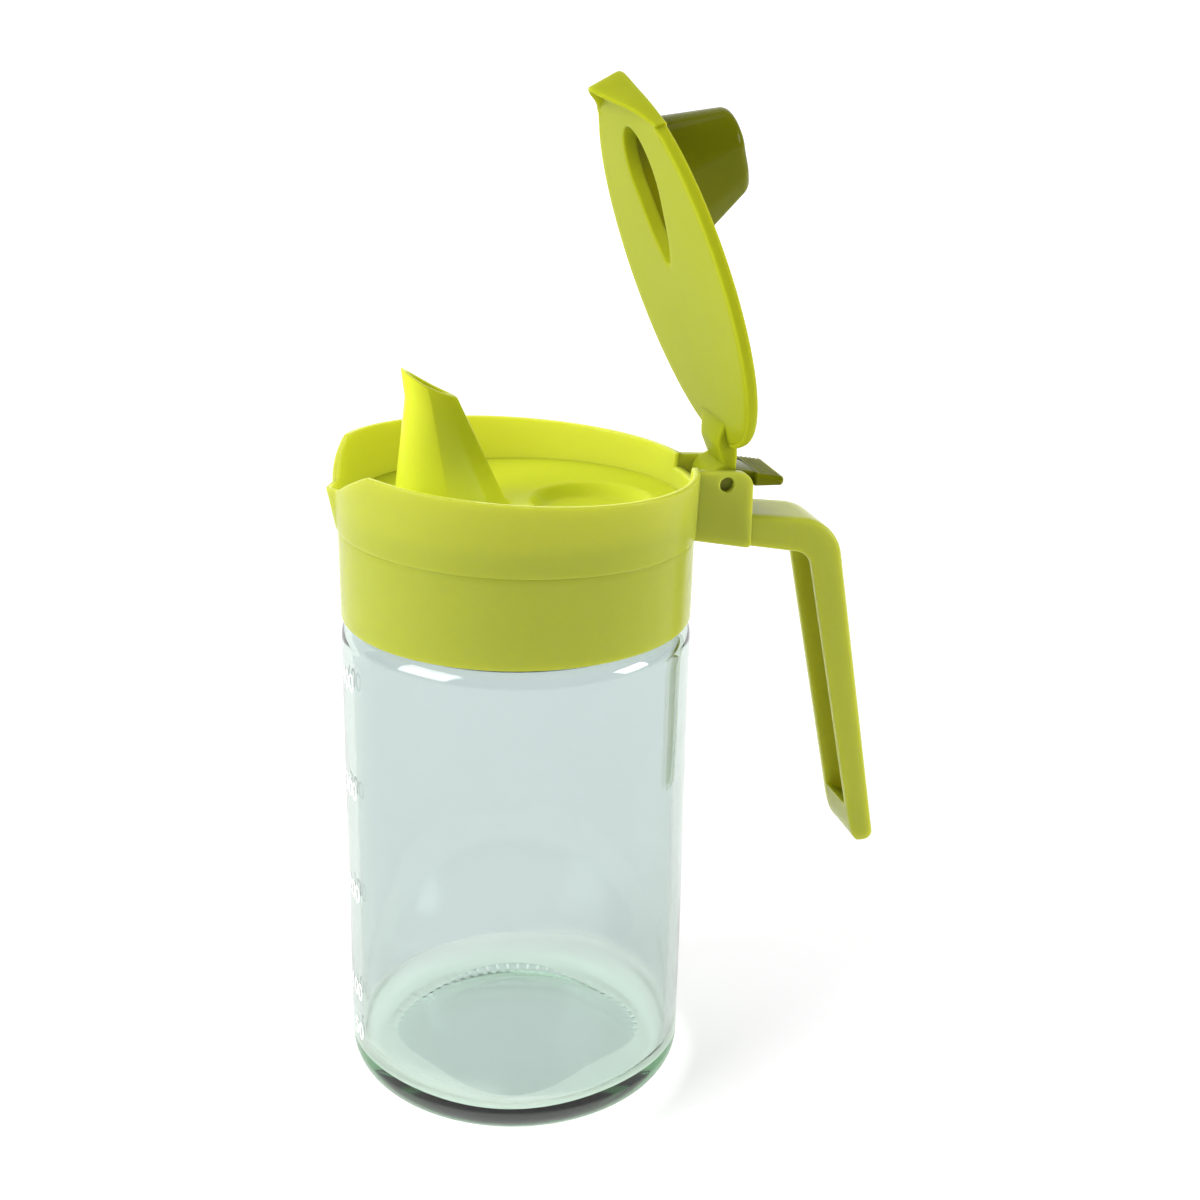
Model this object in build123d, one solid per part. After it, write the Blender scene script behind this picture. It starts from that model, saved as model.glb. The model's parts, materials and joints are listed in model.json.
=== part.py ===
from build123d import *
import os
from math import cos, hypot, radians, sin, sqrt

os.makedirs("parts", exist_ok=True)

# Oil dispenser bottle: a straight glass jar with a screwed plastic pouring head.
# Millimetres. The origin is the centre of the jar's foot, +X runs to the handle, -X to the beak.

# Glass jar
jar_radius = 37.75
glass_wall = 2.4
heel_radius = 7.0
bearing_ring_width = 2.5
punt_height = 3.0
floor_thickness = 4.2
floor_corner_radius = 4.0
shoulder_start = 104.3
shoulder_radius = 5.0
shoulder_width = 4.55
neck_height = 19.1
neck_wall = 2.6
neck_radius = jar_radius - shoulder_width
neck_bore = neck_radius - neck_wall
jar_inner_radius = jar_radius - glass_wall
mouth_height = shoulder_start + neck_height

# Screw thread between the jar and the pouring head
thread_pitch = 6.0
jar_thread_turns = 1.2
jar_thread_drop = 2.6
jar_thread_depth = 1.7
head_thread_turns = 1.0
head_thread_depth = 1.6
ridge_root_width = 2.4
ridge_crest_width = 1.2
flank_clearance = 0.3
crest_clearance = 0.8
thread_bite = 0.3
jar_thread_top = mouth_height - jar_thread_drop

# Sealing ring
seal_width = 2.8
seal_thickness = 1.6
seal_top = mouth_height + seal_thickness

# Pouring insert's deck: its skirt presses the seal, its rim is pressed into the head
seal_skirt_height = 6.4
seal_skirt_wall = 2.0
deck_thickness = 1.6
deck_press = 0.04
seat_top = seal_top + seal_skirt_height
deck_height = seat_top + deck_thickness

# Pouring head: skirt, flared wall, slanted step and slanted rim
skirt_drop = 14.4
skirt_set_in = 0.1
skirt_flare = 0.2
step_drop = 4.8
step_slope = -0.024
step_ledge = 0.35
rim_rise = 9.8
rim_slope = -0.062
rim_flare = 0.95
rim_wall = 1.5
deck_side_wall = 2.5
seat_ledge_width = 2.7
seat_ledge_thickness = 2.0
skirt_bottom = mouth_height - skirt_drop
skirt_radius_bottom = jar_radius - skirt_set_in
skirt_radius_top = skirt_radius_bottom + skirt_flare
skirt_bore = neck_radius + jar_thread_depth + crest_clearance
step_height = deck_height - step_drop
rim_height = deck_height + rim_rise
rim_radius = skirt_radius_top + rim_flare
wall_bore_at_deck = rim_radius - deck_side_wall
seat_ledge_bore = wall_bore_at_deck - seat_ledge_width

# Pouring beak of the head
beak_stand = 1.4
beak_growth = 2.0
beak_low_rise = 0.4
beak_low_half_width = 4.0
beak_half_width = 13.5
beak_chord_inset = 4.5
notch_depth = 4.5
notch_floor_half_width = 5.0
notch_knee_rise = 0.6
notch_corner_half_width = 20.5
notch_corner_rise = 3.2
beak_reach = rim_radius + beak_stand
beak_low_reach = beak_reach - beak_growth
beak_low_height = step_height + beak_low_rise
notch_floor = rim_height - notch_depth
notch_knee_height = notch_floor + notch_knee_rise
notch_corner_height = rim_height + notch_corner_rise

# Ears and hinge pin
pin_offset = 5.0
pin_drop = 5.8
pin_radius = 1.6
pin_press = 0.03
pin_running_clearance = 0.06
pin_recess = 1.8
ear_outer_half = 9.0
ear_thickness = 2.5
ear_run = 6.0
ear_root_bite = 3.2
ear_top_drop = 0.35
ear_foot_drop = 0.3
ear_corner_radius = 3.4
saddle_depth = 2.7
saddle_length = 8.0
pin_x = rim_radius + pin_offset
pin_height = rim_height - pin_drop
ear_end_x = pin_x + ear_run
ear_inner_half = ear_outer_half - ear_thickness
hinge_axis = Axis((pin_x, 0, pin_height), (0, 1, 0))

# Handle: a channel open downwards under the arm and towards the jar down the grip
handle_reach = 31.3
handle_half_width = 8.0
handle_wall = 2.1
handle_web = 2.4
handle_root_bite = 1.2
arm_drop = 11.8
arm_top_fall = 0.12
arm_height_at_wall = 6.2
arm_bottom_fall = 0.18
knee_outer_radius = 10.5
knee_inner_radius = 5.0
knee_extra_depth = 1.0
grip_lean = 0.176
grip_depth_top = 6.4
grip_depth_tip = 5.7
grip_tip_flat = 3.6
grip_tip_bevel = 4.5
grip_drop = 82.6
grip_end_cap = 3.0
grip_corner_radius = 1.6
handle_edge_radius = 1.2
knee_x = rim_radius + handle_reach
arm_top_at_wall = rim_height - arm_drop
grip_end_height = arm_top_at_wall - grip_drop

# Spout and drip return of the insert
spout_wall = 1.3
spout_setback = 10.0
spout_foot_length = 24.1
spout_foot_half_width = 10.4
spout_neck_rise = 23.4
spout_neck_lean = 2.8
spout_neck_length = 10.8
spout_neck_half_width = 4.7
lip_rise = 5.2
lip_forward = 0.9
lip_half_width = 3.8
lip_back_lean = 3.0
lip_allowance = 1.0
mouth_sag = 0.7
bowl_setback = 20.3
bowl_radius = 13.2
bowl_depth = 2.6
bowl_slope_run = 3.0
bowl_wall = 1.5
drain_radius = 1.5
spout_foot_front = spout_setback - wall_bore_at_deck
spout_foot_back = spout_foot_front + spout_foot_length
spout_neck_height = deck_height + spout_neck_rise
spout_neck_front = spout_foot_front + spout_neck_lean
spout_neck_back = spout_neck_front + spout_neck_length
lip_height = spout_neck_height + lip_rise
lip_x = spout_neck_front - lip_forward
lip_back = spout_neck_back - lip_back_lean
bowl_x = wall_bore_at_deck - bowl_setback

# Proportions of the teardrop that the spout and its cover share
drop_widest = 0.44
drop_crease = 0.80
drop_crease_width = 0.62
drop_tail_width = 0.16
drop_tail_inset = 1.3

# Lid, drawn closed on the rim and then swung to its open place
lid_open_angle = 67.7
lid_gap = 0.25
lid_overhang = 0.6
lid_centre_x = -1.4
lid_plate = 1.7
lid_bead_height = 2.5
lid_bead_width = 2.4
lid_bead_round = 0.9
lid_point_radius = 2.0
beak_side_clearance = 0.45
flap_thickness = 1.4
flap_drop = 5.8
flap_half_width = 23.0
flap_tip_radius = 9.0
flap_root = 0.5
neck_side_clearance = 0.3
neck_root_run = 7.0
neck_slope_run = 3.0
neck_drop = 2.3
knuckle_radius = 3.4
lever_start = 6.8
lever_reach = 13.0
lever_half_width = 8.0
lever_root_thickness = 2.9
lever_tip_thickness = 2.1
lever_top_drop = 0.3
lever_rise_angle = 58.0
lever_corner_radius = 0.9
lever_rib_count = 5
lever_rib_pitch = 1.0
lever_rib_height = 0.35
lever_rib_width = 0.6
lever_rib_margin = 1.4
lever_rib_root = 0.2
lever_rib_side_margin = 1.0
lid_base = rim_height + lid_gap
lid_radius = rim_radius + lid_overhang
neck_half_width = ear_inner_half - neck_side_clearance
lever_top = knuckle_radius - lever_top_drop

# Hollow cover on the lid that closes over the spout
cover_wall = 1.4
cover_room_front = 6.9
cover_room_back = 3.8
cover_room_side = 1.8
cover_room_top = 2.8
cover_lean_front = 5.8
cover_lean_back = 0.4
cover_head_side = 1.3
cover_top_round = 1.8
cover_height = lip_height + cover_room_top + cover_wall - lid_base - rim_slope * lip_x
cover_top_front = spout_neck_front - cover_lean_front
cover_top_back = spout_neck_back + cover_lean_back
cover_top_half_width = spout_neck_half_width + cover_head_side

# Reach of the tools that cut right through
far = 200.0


def slanted(height, slope):
    """The plane z = height + slope * x."""
    return Plane(origin=(0, 0, height), x_dir=(1, 0, slope), z_dir=(-slope, 0, 1))


def room_above(height, slope):
    """Everything above a slanted plane."""
    return slanted(height, slope) * Box(far, far, far, align=(Align.CENTER, Align.CENTER, Align.MIN))


def profile_face(points):
    """A flat face in the X-Z plane through the given corners."""
    return make_face(Plane.XZ * Polyline(*points, close=True))


def spun(points):
    """A solid of revolution about Z from corners given as radius and height."""
    return revolve(profile_face(points), axis=Axis.Z)


def rounded_at(face, x, z, radius):
    """Round the corner of an X-Z face that lies nearest to a point."""
    corner = face.vertices().sort_by_distance((x, 0, z))[0]
    return fillet(corner, radius)


def across(face, half_width):
    """Carry an X-Z face to both sides of the middle plane."""
    return extrude(face, amount=half_width, both=True)


def cylinder_up(radius, low, high):
    """A round bar standing on the Z axis."""
    return extrude(Pos(0, 0, low) * Circle(radius), amount=high - low)


def tube(outer, inner, low, high):
    """A straight ring standing on the Z axis."""
    return extrude(Pos(0, 0, low) * (Circle(outer) - Circle(inner)), amount=high - low)


def pin_bar(radius, half_length):
    """A round bar along the hinge axis."""
    return Pos(pin_x, 0, pin_height) * Rot(90, 0, 0) * Cylinder(radius, 2 * half_length)


def thread_ridge(root, crest, top, turns):
    """One ridge wound round the Z axis, from its lower end up to the given height."""
    rise = thread_pitch * turns
    path = Helix(thread_pitch, rise, root, center=(0, 0, top - rise))
    side = 1 if crest > root else -1
    bite = -side * thread_bite
    reach = crest - root
    corners = [
        (bite, -ridge_root_width / 2),
        (reach, -ridge_crest_width / 2),
        (reach, ridge_crest_width / 2),
        (bite, ridge_root_width / 2),
    ]
    start = Plane(origin=path @ 0, x_dir=(1, 0, 0), z_dir=path % 0)
    section = start * make_face(Polyline(*corners, close=True))
    return sweep(section, path=path, is_frenet=True)


def jar_outline():
    """Outer half section of the jar's body: punt, bearing ring, heel, side and shoulder."""
    ring_outer = jar_radius - heel_radius
    ring_inner = ring_outer - bearing_ring_width
    dome = (ring_inner**2 + punt_height**2) / (2 * punt_height)
    dome_x = ring_inner / 2
    dome_z = punt_height - dome + sqrt(dome**2 - dome_x**2)
    shoulder_x = jar_radius - shoulder_radius
    shoulder_top = shoulder_start + shoulder_radius
    return Curve() + [
        ThreePointArc((0, punt_height), (dome_x, dome_z), (ring_inner, 0)),
        Line((ring_inner, 0), (ring_outer, 0)),
        CenterArc((ring_outer, heel_radius), heel_radius, 270, 90),
        Line((jar_radius, heel_radius), (jar_radius, shoulder_start)),
        CenterArc((shoulder_x, shoulder_start), shoulder_radius, 0, 90),
        Line((shoulder_x, shoulder_top), (0, shoulder_top)),
        Line((0, shoulder_top), (0, punt_height)),
    ]


def glass_jar():
    """Straight jar with a rounded heel, a punt on a bearing ring, a round shoulder and a neck."""
    body = revolve(make_face(Plane.XZ * jar_outline()), axis=Axis.Z)
    neck = cylinder_up(neck_radius, shoulder_start, mouth_height)
    crest = neck_radius + jar_thread_depth
    thread = thread_ridge(neck_radius, crest, jar_thread_top, jar_thread_turns)
    floor_top = punt_height + floor_thickness
    cavity_top = shoulder_start + shoulder_radius - glass_wall
    room = profile_face(
        [
            (0, floor_top),
            (jar_inner_radius, floor_top),
            (jar_inner_radius, cavity_top),
            (0, cavity_top),
        ]
    )
    room = rounded_at(room, jar_inner_radius, floor_top, floor_corner_radius)
    room = rounded_at(room, jar_inner_radius, cavity_top, shoulder_radius - glass_wall)
    cavity = revolve(room, axis=Axis.Z)
    bore = cylinder_up(neck_bore, cavity_top - glass_wall, mouth_height + glass_wall)
    return body + neck + thread - cavity - bore


def seal_ring():
    """Flat soft ring between the glass mouth and the pouring insert."""
    middle = (neck_radius + neck_bore) / 2
    return tube(middle + seal_width / 2, middle - seal_width / 2, mouth_height, seal_top)


def wall_radius(height):
    """Outer radius of the flared wall above the step."""
    low = skirt_radius_top + step_ledge
    return low + (rim_radius - low) * (height - step_height) / (rim_height - step_height)


def wall_bore(height):
    """Inner radius of the flared wall above the deck."""
    bore_at_rim = rim_radius - rim_wall
    share = (height - deck_height) / (rim_height - deck_height)
    return wall_bore_at_deck + (bore_at_rim - wall_bore_at_deck) * share


def beak_front(height):
    """How far the beak's edge stands forward at a height."""
    lean = (beak_reach - beak_low_reach) / (notch_floor - beak_low_height)
    return beak_low_reach + lean * (height - beak_low_height)


def beak_wedge(inset):
    """The pointed bulge of the wall at the beak, growing from nothing at the step to the rim."""
    top = notch_corner_height
    chord = beak_chord_inset - beak_low_reach
    low_tip = inset - beak_low_reach
    top_tip = inset - beak_front(top)
    low = make_face(
        Polyline(
            (chord, -beak_low_half_width),
            (low_tip, 0),
            (chord, beak_low_half_width),
            close=True,
        )
    )
    high = make_face(
        Polyline((chord, -beak_half_width), (top_tip, 0), (chord, beak_half_width), close=True)
    )
    return loft([Pos(0, 0, beak_low_height) * low, Pos(0, 0, top) * high], ruled=True)


def beak_notch():
    """The rounded dip in the rim that lets the oil run to the beak."""
    floor = notch_floor_half_width
    corner = notch_corner_half_width
    outline = Curve() + [
        Line((-corner, notch_corner_height), (-floor, notch_knee_height)),
        ThreePointArc((-floor, notch_knee_height), (0, notch_floor), (floor, notch_knee_height)),
        Line((floor, notch_knee_height), (corner, notch_corner_height)),
        Line((corner, notch_corner_height), (-corner, notch_corner_height)),
    ]
    start = Plane(origin=(spout_foot_front, 0, 0), x_dir=(0, -1, 0), z_dir=(-1, 0, 0))
    return extrude(start * make_face(outline), amount=beak_reach)


def arm_top(x):
    """Height of the arm's upper side."""
    return arm_top_at_wall - arm_top_fall * (x - wall_radius(arm_top_at_wall))


def arm_bottom(x):
    """Height of the arm's lower side."""
    run = x - wall_radius(arm_top_at_wall)
    return arm_top_at_wall - arm_height_at_wall - arm_bottom_fall * run


def grip_outer(height):
    """How far out the grip's outer side stands at a height."""
    return knee_x + grip_lean * (arm_top(knee_x) - height)


def handle_side():
    """Side view of the whole handle."""
    root_x = wall_radius(arm_top_at_wall) - handle_root_bite
    inner_z = arm_bottom(knee_x - grip_depth_top)
    inner_x = grip_outer(inner_z) - grip_depth_top - knee_extra_depth
    tip_x = grip_outer(grip_end_height)
    face = profile_face(
        [
            (root_x, arm_top_at_wall),
            (knee_x, arm_top(knee_x)),
            (tip_x, grip_end_height),
            (tip_x - grip_tip_flat, grip_end_height),
            (tip_x - grip_depth_tip, grip_end_height + grip_tip_bevel),
            (inner_x, inner_z),
            (root_x, arm_top_at_wall - arm_height_at_wall),
        ]
    )
    face = rounded_at(face, knee_x, arm_top(knee_x), knee_outer_radius)
    face = rounded_at(face, inner_x, inner_z, knee_inner_radius)
    return rounded_at(face, tip_x, grip_end_height, grip_corner_radius)


def channel_side():
    """Side view of the room inside the handle, open below the arm and towards the jar."""
    root_x = wall_radius(arm_top_at_wall) - handle_root_bite
    corner_x = knee_x - handle_web
    corner_z = arm_top(knee_x) - handle_web
    cap_z = grip_end_height + grip_end_cap
    cap_x = corner_x + grip_lean * (corner_z - cap_z)
    open_z = arm_top_at_wall - 2 * arm_height_at_wall
    face = profile_face(
        [
            (root_x, arm_top_at_wall - handle_web),
            (corner_x, corner_z),
            (cap_x, cap_z),
            (cap_x - 2 * grip_depth_top, cap_z),
            (knee_x - 2 * grip_depth_top, open_z),
            (root_x, open_z),
        ]
    )
    return rounded_at(face, corner_x, corner_z, knee_outer_radius - handle_web)


def on_outside(edge):
    """Whether an edge runs along the outer side of the arm, the knee or the grip."""
    middle = edge.center()
    at_side = abs(abs(middle.Y) - handle_half_width) < 0.01
    past_wall = middle.X > wall_radius(arm_top_at_wall)
    above_arm = middle.Z > arm_top(middle.X) - arm_height_at_wall / 2
    past_grip = middle.X > grip_outer(middle.Z) - grip_depth_top / 2
    return at_side and past_wall and (above_arm or past_grip)


def handle():
    """Arm and grip in one channel section."""
    solid = across(handle_side(), handle_half_width)
    solid = fillet(solid.edges().filter_by(on_outside), handle_edge_radius)
    return solid - across(channel_side(), handle_half_width - handle_wall)


def ear_top(x):
    """Height of the ears' upper edge, just under the rim's own slant."""
    return rim_height - ear_top_drop + rim_slope * x


def ears():
    """Two cheeks that stand proud of the arm and carry the hinge pin."""
    start_x = rim_radius - ear_root_bite
    face = profile_face(
        [
            (start_x, arm_bottom(start_x) - ear_foot_drop),
            (ear_end_x, arm_bottom(ear_end_x) - ear_foot_drop),
            (ear_end_x, ear_top(ear_end_x)),
            (start_x, ear_top(start_x)),
        ]
    )
    face = rounded_at(face, ear_end_x, ear_top(ear_end_x), ear_corner_radius)
    gap = Box(far, 2 * ear_inner_half, 2 * far)
    return across(face, ear_outer_half) - gap - pin_bar(pin_radius - pin_press, far)


def saddle():
    """The dip in the rim between the ears that lets the lid's neck pass."""
    floor = ear_top(rim_radius) - saddle_depth
    block = Box(
        saddle_length, 2 * ear_inner_half, far, align=(Align.CENTER, Align.CENTER, Align.MIN)
    )
    return Pos(rim_radius, 0, floor) * block


def head_room():
    """Everything hollow inside the head: threaded bore, seat ledge and flared bowl of the wall."""
    top = notch_corner_height
    ledge_low = seat_top - seat_ledge_thickness
    return spun(
        [
            (0, 0),
            (skirt_bore, 0),
            (skirt_bore, ledge_low),
            (seat_ledge_bore, ledge_low),
            (seat_ledge_bore, seat_top),
            (wall_bore_at_deck, seat_top),
            (wall_bore_at_deck, deck_height),
            (wall_bore(top), top),
            (0, top),
        ]
    )


def collar():
    """Screwed skirt, flared wall with its beak, the ears and the handle, moulded in one."""
    skirt_top = step_height + deck_thickness
    wall_low = step_height - deck_thickness
    wall_top = notch_corner_height
    skirt = spun(
        [
            (0, skirt_bottom),
            (skirt_radius_bottom, skirt_bottom),
            (skirt_radius_top, skirt_top),
            (0, skirt_top),
        ]
    )
    wall = spun(
        [
            (0, wall_low),
            (wall_radius(wall_low), wall_low),
            (wall_radius(wall_top), wall_top),
            (0, wall_top),
        ]
    )
    wall = (wall + beak_wedge(0)) & room_above(step_height, step_slope)
    above_rim = room_above(rim_height, rim_slope) & Box(2 * rim_radius, far, 2 * far)
    beak_room = beak_wedge(rim_wall) & room_above(deck_height, 0)
    crest = skirt_bore - head_thread_depth
    thread_top = jar_thread_top - thread_pitch / 2 - flank_clearance / 2
    thread = thread_ridge(skirt_bore, crest, thread_top, head_thread_turns)
    solid = skirt + wall - above_rim
    above_beak = room_above(rim_height, rim_slope) & Pos(-rim_radius, 0, 0) * Box(
        2 * saddle_length, far, 2 * far
    )
    solid = solid - above_beak + handle() + ears()
    return solid - head_room() - beak_room - beak_notch() - saddle() + thread


def drop_section(front, back, half_width, height):
    """Teardrop face: round towards the beak, creased and narrowing towards the hinge."""
    length = back - front
    wide_x = front + drop_widest * length
    crease_x = front + drop_crease * length
    crease_y = drop_crease_width * half_width
    tail_y = drop_tail_width * half_width
    outline = Curve() + [
        ThreePointArc((wide_x, -half_width), (front, 0), (wide_x, half_width)),
        Line((wide_x, half_width), (crease_x, crease_y)),
        Line((crease_x, crease_y), (back, tail_y)),
        Line((back, tail_y), (back, -tail_y)),
        Line((back, -tail_y), (crease_x, -crease_y)),
        Line((crease_x, -crease_y), (wide_x, -half_width)),
    ]
    return Plane(origin=(0, 0, height)) * make_face(outline)


def spout_at(height):
    """Front, back and half width of the spout at a height."""
    share = (height - deck_height) / (spout_neck_height - deck_height)
    front = spout_foot_front + (spout_neck_front - spout_foot_front) * share
    back = spout_foot_back + (spout_neck_back - spout_foot_back) * share
    half_width = spout_foot_half_width + (spout_neck_half_width - spout_foot_half_width) * share
    return front, back, half_width


def spout_section(height, inset):
    """The spout's outline at a height, or with an inset that of its bore."""
    front, back, half_width = spout_at(height)
    back = back - drop_tail_inset * inset
    return drop_section(front + inset, back, half_width - inset, height)


def spout_body(inset, low):
    """The leaning spout from a given height, or with an inset its bore."""
    foot = spout_section(low, inset)
    neck = spout_section(spout_neck_height, inset)
    lip = drop_section(
        lip_x + inset, lip_back - inset, lip_half_width - inset, lip_height + lip_allowance
    )
    return loft([foot, neck], ruled=True) + loft([neck, lip], ruled=True)


def mouth_cut():
    """What lies above the slightly hollow slope of the spout's mouth."""
    middle_x = (lip_x + spout_neck_back) / 2
    middle_z = (lip_height + spout_neck_height) / 2 - mouth_sag
    slope = ThreePointArc(
        (lip_x, lip_height), (middle_x, middle_z), (spout_neck_back, spout_neck_height)
    )
    outline = Curve() + [
        Line((lip_x, far), (lip_x, lip_height)),
        slope,
        Line((spout_neck_back, spout_neck_height), (spout_neck_back, far)),
        Line((spout_neck_back, far), (lip_x, far)),
    ]
    front = Pos(lip_x, 0, lip_height) * Box(
        2 * far, far, far, align=(Align.MAX, Align.CENTER, Align.MIN)
    )
    return across(make_face(Plane.XZ * outline), spout_foot_half_width) + front


def drip_bowl():
    """Solid under the drip bowl, and the bowl's hollow with its drain."""
    bowl_low = deck_height - bowl_depth
    bowl_inner = bowl_radius - bowl_slope_run
    outer = bowl_radius + bowl_wall
    tray = spun(
        [
            (0, bowl_low - deck_thickness),
            (bowl_inner, bowl_low - deck_thickness),
            (outer, seat_top),
            (outer, deck_height),
            (0, deck_height),
        ]
    )
    dish = spun([(0, bowl_low), (bowl_inner, bowl_low), (bowl_radius, deck_height), (0, deck_height)])
    drain = cylinder_up(drain_radius, seal_top, deck_height)
    return Pos(bowl_x, 0, 0) * tray, Pos(bowl_x, 0, 0) * (dish + drain)


def pourer_insert():
    """Deck with the spout, the drip bowl with its drain, and the skirt that presses the seal."""
    deck = cylinder_up(wall_bore_at_deck + deck_press, seat_top, deck_height)
    skirt = tube(neck_radius, neck_radius - seal_skirt_wall, seal_top, seat_top)
    tray, hollow = drip_bowl()
    solid = deck + skirt + tray + spout_body(0, seat_top)
    bore = spout_body(spout_wall, seat_top - deck_thickness)
    return solid - hollow - bore - mouth_cut()


def lid_plan(radius, tip_x, half_width):
    """Round plate drawn out to a blunt point over the beak."""
    side_x = lid_centre_x - sqrt(radius**2 - half_width**2)
    point = make_face(
        Polyline(
            (0, -half_width),
            (side_x, -half_width),
            (tip_x, 0),
            (side_x, half_width),
            (0, half_width),
            close=True,
        )
    )
    tip = point.vertices().sort_by_distance((tip_x, 0, 0))[0]
    return Pos(lid_centre_x, 0) * Circle(radius) + fillet(tip, lid_point_radius)


def lid_plate_body():
    """Plate with a raised round edge and the flap that hangs over the beak."""
    flap_inner_tip = -(beak_front(rim_height) + beak_side_clearance)
    flap_outer_tip = flap_inner_tip - flap_thickness
    plan = lid_plan(lid_radius, flap_outer_tip, flap_half_width)
    inside = lid_plan(
        lid_radius - lid_bead_width, flap_outer_tip + lid_bead_width, flap_half_width - flap_root
    )
    bead = extrude(plan - inside, amount=lid_bead_height)
    bead = fillet(bead.faces().sort_by(Axis.Z)[-1].edges(), lid_bead_round)
    curtain_plan = lid_plan(lid_radius, flap_outer_tip, flap_half_width)
    curtain = extrude(Pos(0, 0, -flap_drop) * curtain_plan, amount=flap_drop)
    wall_side = lid_plan(
        rim_radius + beak_side_clearance, flap_inner_tip, flap_half_width - flap_root
    )
    curtain = curtain - extrude(Pos(0, 0, -flap_drop) * wall_side, amount=flap_drop)
    tongue = make_face(
        Polyline(
            (-flap_half_width, flap_root), (0, -flap_drop), (flap_half_width, flap_root), close=True
        )
    )
    tip = tongue.vertices().sort_by_distance((0, -flap_drop, 0))[0]
    kept = extrude(Plane.YZ * fillet(tip, flap_tip_radius), amount=-far)
    return extrude(plan, amount=lid_plate) + bead + (curtain & kept)


def under_lid(x):
    """Height of the closed lid's flat underside."""
    return lid_base + rim_slope * x


def lid_neck():
    """Neck that drops from the plate's edge between the ears to the knuckle."""
    root_x = rim_radius - neck_root_run
    low_x = root_x + neck_slope_run
    edge_x = lid_centre_x + lid_radius
    neck_low = under_lid(rim_radius) - neck_drop
    side = profile_face(
        [
            (root_x, under_lid(root_x)),
            (low_x, neck_low),
            (pin_x - knuckle_radius, neck_low - pin_running_clearance),
            (pin_x, pin_height),
            (pin_x, pin_height + knuckle_radius),
            (edge_x, under_lid(edge_x) + lid_plate),
            (root_x, under_lid(root_x) + lid_plate),
        ]
    )
    return across(side, neck_half_width)


def on_lever(distance, height):
    """A point a distance along the lever from the pin and a height over its middle line."""
    rise = radians(lever_rise_angle)
    x = pin_x + cos(rise) * distance - sin(rise) * height
    z = pin_height + sin(rise) * distance + cos(rise) * height
    return x, z


def at_lever_end(edge):
    """Whether an edge runs up one of the lever's two free corners."""
    middle = edge.center()
    past_ribs = hypot(middle.X - pin_x, middle.Z - pin_height) > lever_reach - lever_rib_width
    return past_ribs and abs(abs(middle.Y) - lever_half_width) < 0.01


def lever_ribs():
    """Small ridges across the lever's thumb face."""
    ribs = []
    for number in range(lever_rib_count):
        distance = lever_reach - lever_rib_margin - number * lever_rib_pitch
        side = profile_face(
            [
                on_lever(distance - lever_rib_width / 2, lever_top - lever_rib_root),
                on_lever(distance + lever_rib_width / 2, lever_top - lever_rib_root),
                on_lever(distance, lever_top + lever_rib_height),
            ]
        )
        ribs.append(across(side, lever_half_width - lever_rib_side_margin))
    return ribs


def thumb_lever():
    """Stem between the ears and the wide thumb plate behind them."""
    root_low = lever_top - lever_root_thickness
    tip_low = lever_top - lever_tip_thickness
    stem_end = lever_start + lever_rib_pitch
    plate = profile_face(
        [
            on_lever(lever_start, root_low),
            on_lever(lever_reach, tip_low),
            on_lever(lever_reach, lever_top),
            on_lever(lever_start, lever_top),
        ]
    )
    plate = across(plate, lever_half_width)
    plate = fillet(plate.edges().filter_by(at_lever_end), lever_corner_radius)
    stem = profile_face(
        [
            on_lever(0, root_low),
            on_lever(stem_end, root_low),
            on_lever(stem_end, lever_top),
            on_lever(0, lever_top),
        ]
    )
    return plate + across(stem, neck_half_width) + lever_ribs()


def cover_body(inset, low, top):
    """Hollow cover in the lid's own plane; with an inset it is the room for the spout."""
    front, back, half_width = spout_at(lid_base)
    front = front - cover_room_front - cover_wall + inset
    back = back + cover_room_back + cover_wall - inset
    half_width = half_width + cover_room_side + cover_wall - inset
    foot = drop_section(front, back, half_width, low)
    head = drop_section(
        cover_top_front + inset, cover_top_back - inset, cover_top_half_width - inset, top
    )
    return loft([foot, head], ruled=True)


def lid():
    """Closed lid with its hollow spout cover, flap, neck and lever, swung open."""
    cover = cover_body(0, 0, cover_height)
    cover = fillet(cover.faces().sort_by(Axis.Z)[-1].edges(), cover_top_round)
    room = cover_body(cover_wall, 0, cover_height - cover_wall)
    shell = lid_plate_body() + cover - room
    knuckle = pin_bar(knuckle_radius, neck_half_width)
    closed = slanted(lid_base, rim_slope) * shell + lid_neck() + knuckle + thumb_lever()
    closed = closed - pin_bar(pin_radius + pin_running_clearance, far)
    return closed.rotate(hinge_axis, lid_open_angle)


def hinge_pin():
    """Plain pin through both ears, its ends below the ears' outer faces."""
    return pin_bar(pin_radius, ear_outer_half - pin_recess)


pieces = {
    "glass_jar": glass_jar(),
    "seal_ring": seal_ring(),
    "collar": collar(),
    "pourer_insert": pourer_insert(),
    "lid": lid(),
    "hinge_pin": hinge_pin(),
}

for name, piece in pieces.items():
    export_step(piece, f"parts/{name}.step")
    print(name, len(piece.solids()), round(piece.volume / 1000, 2), "cm3", piece.bounding_box())
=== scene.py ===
"""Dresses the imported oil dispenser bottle: glass jar, printed scale, pouring head, insert, lid and stage."""

import json
from math import asin, cos, pi, radians, sin, sqrt

import bpy
import numpy as np
from bpy.props import FloatProperty, FloatVectorProperty, IntProperty, PointerProperty
from bpy.types import Operator, Panel, PropertyGroup
from mathutils import Matrix, Vector


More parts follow.
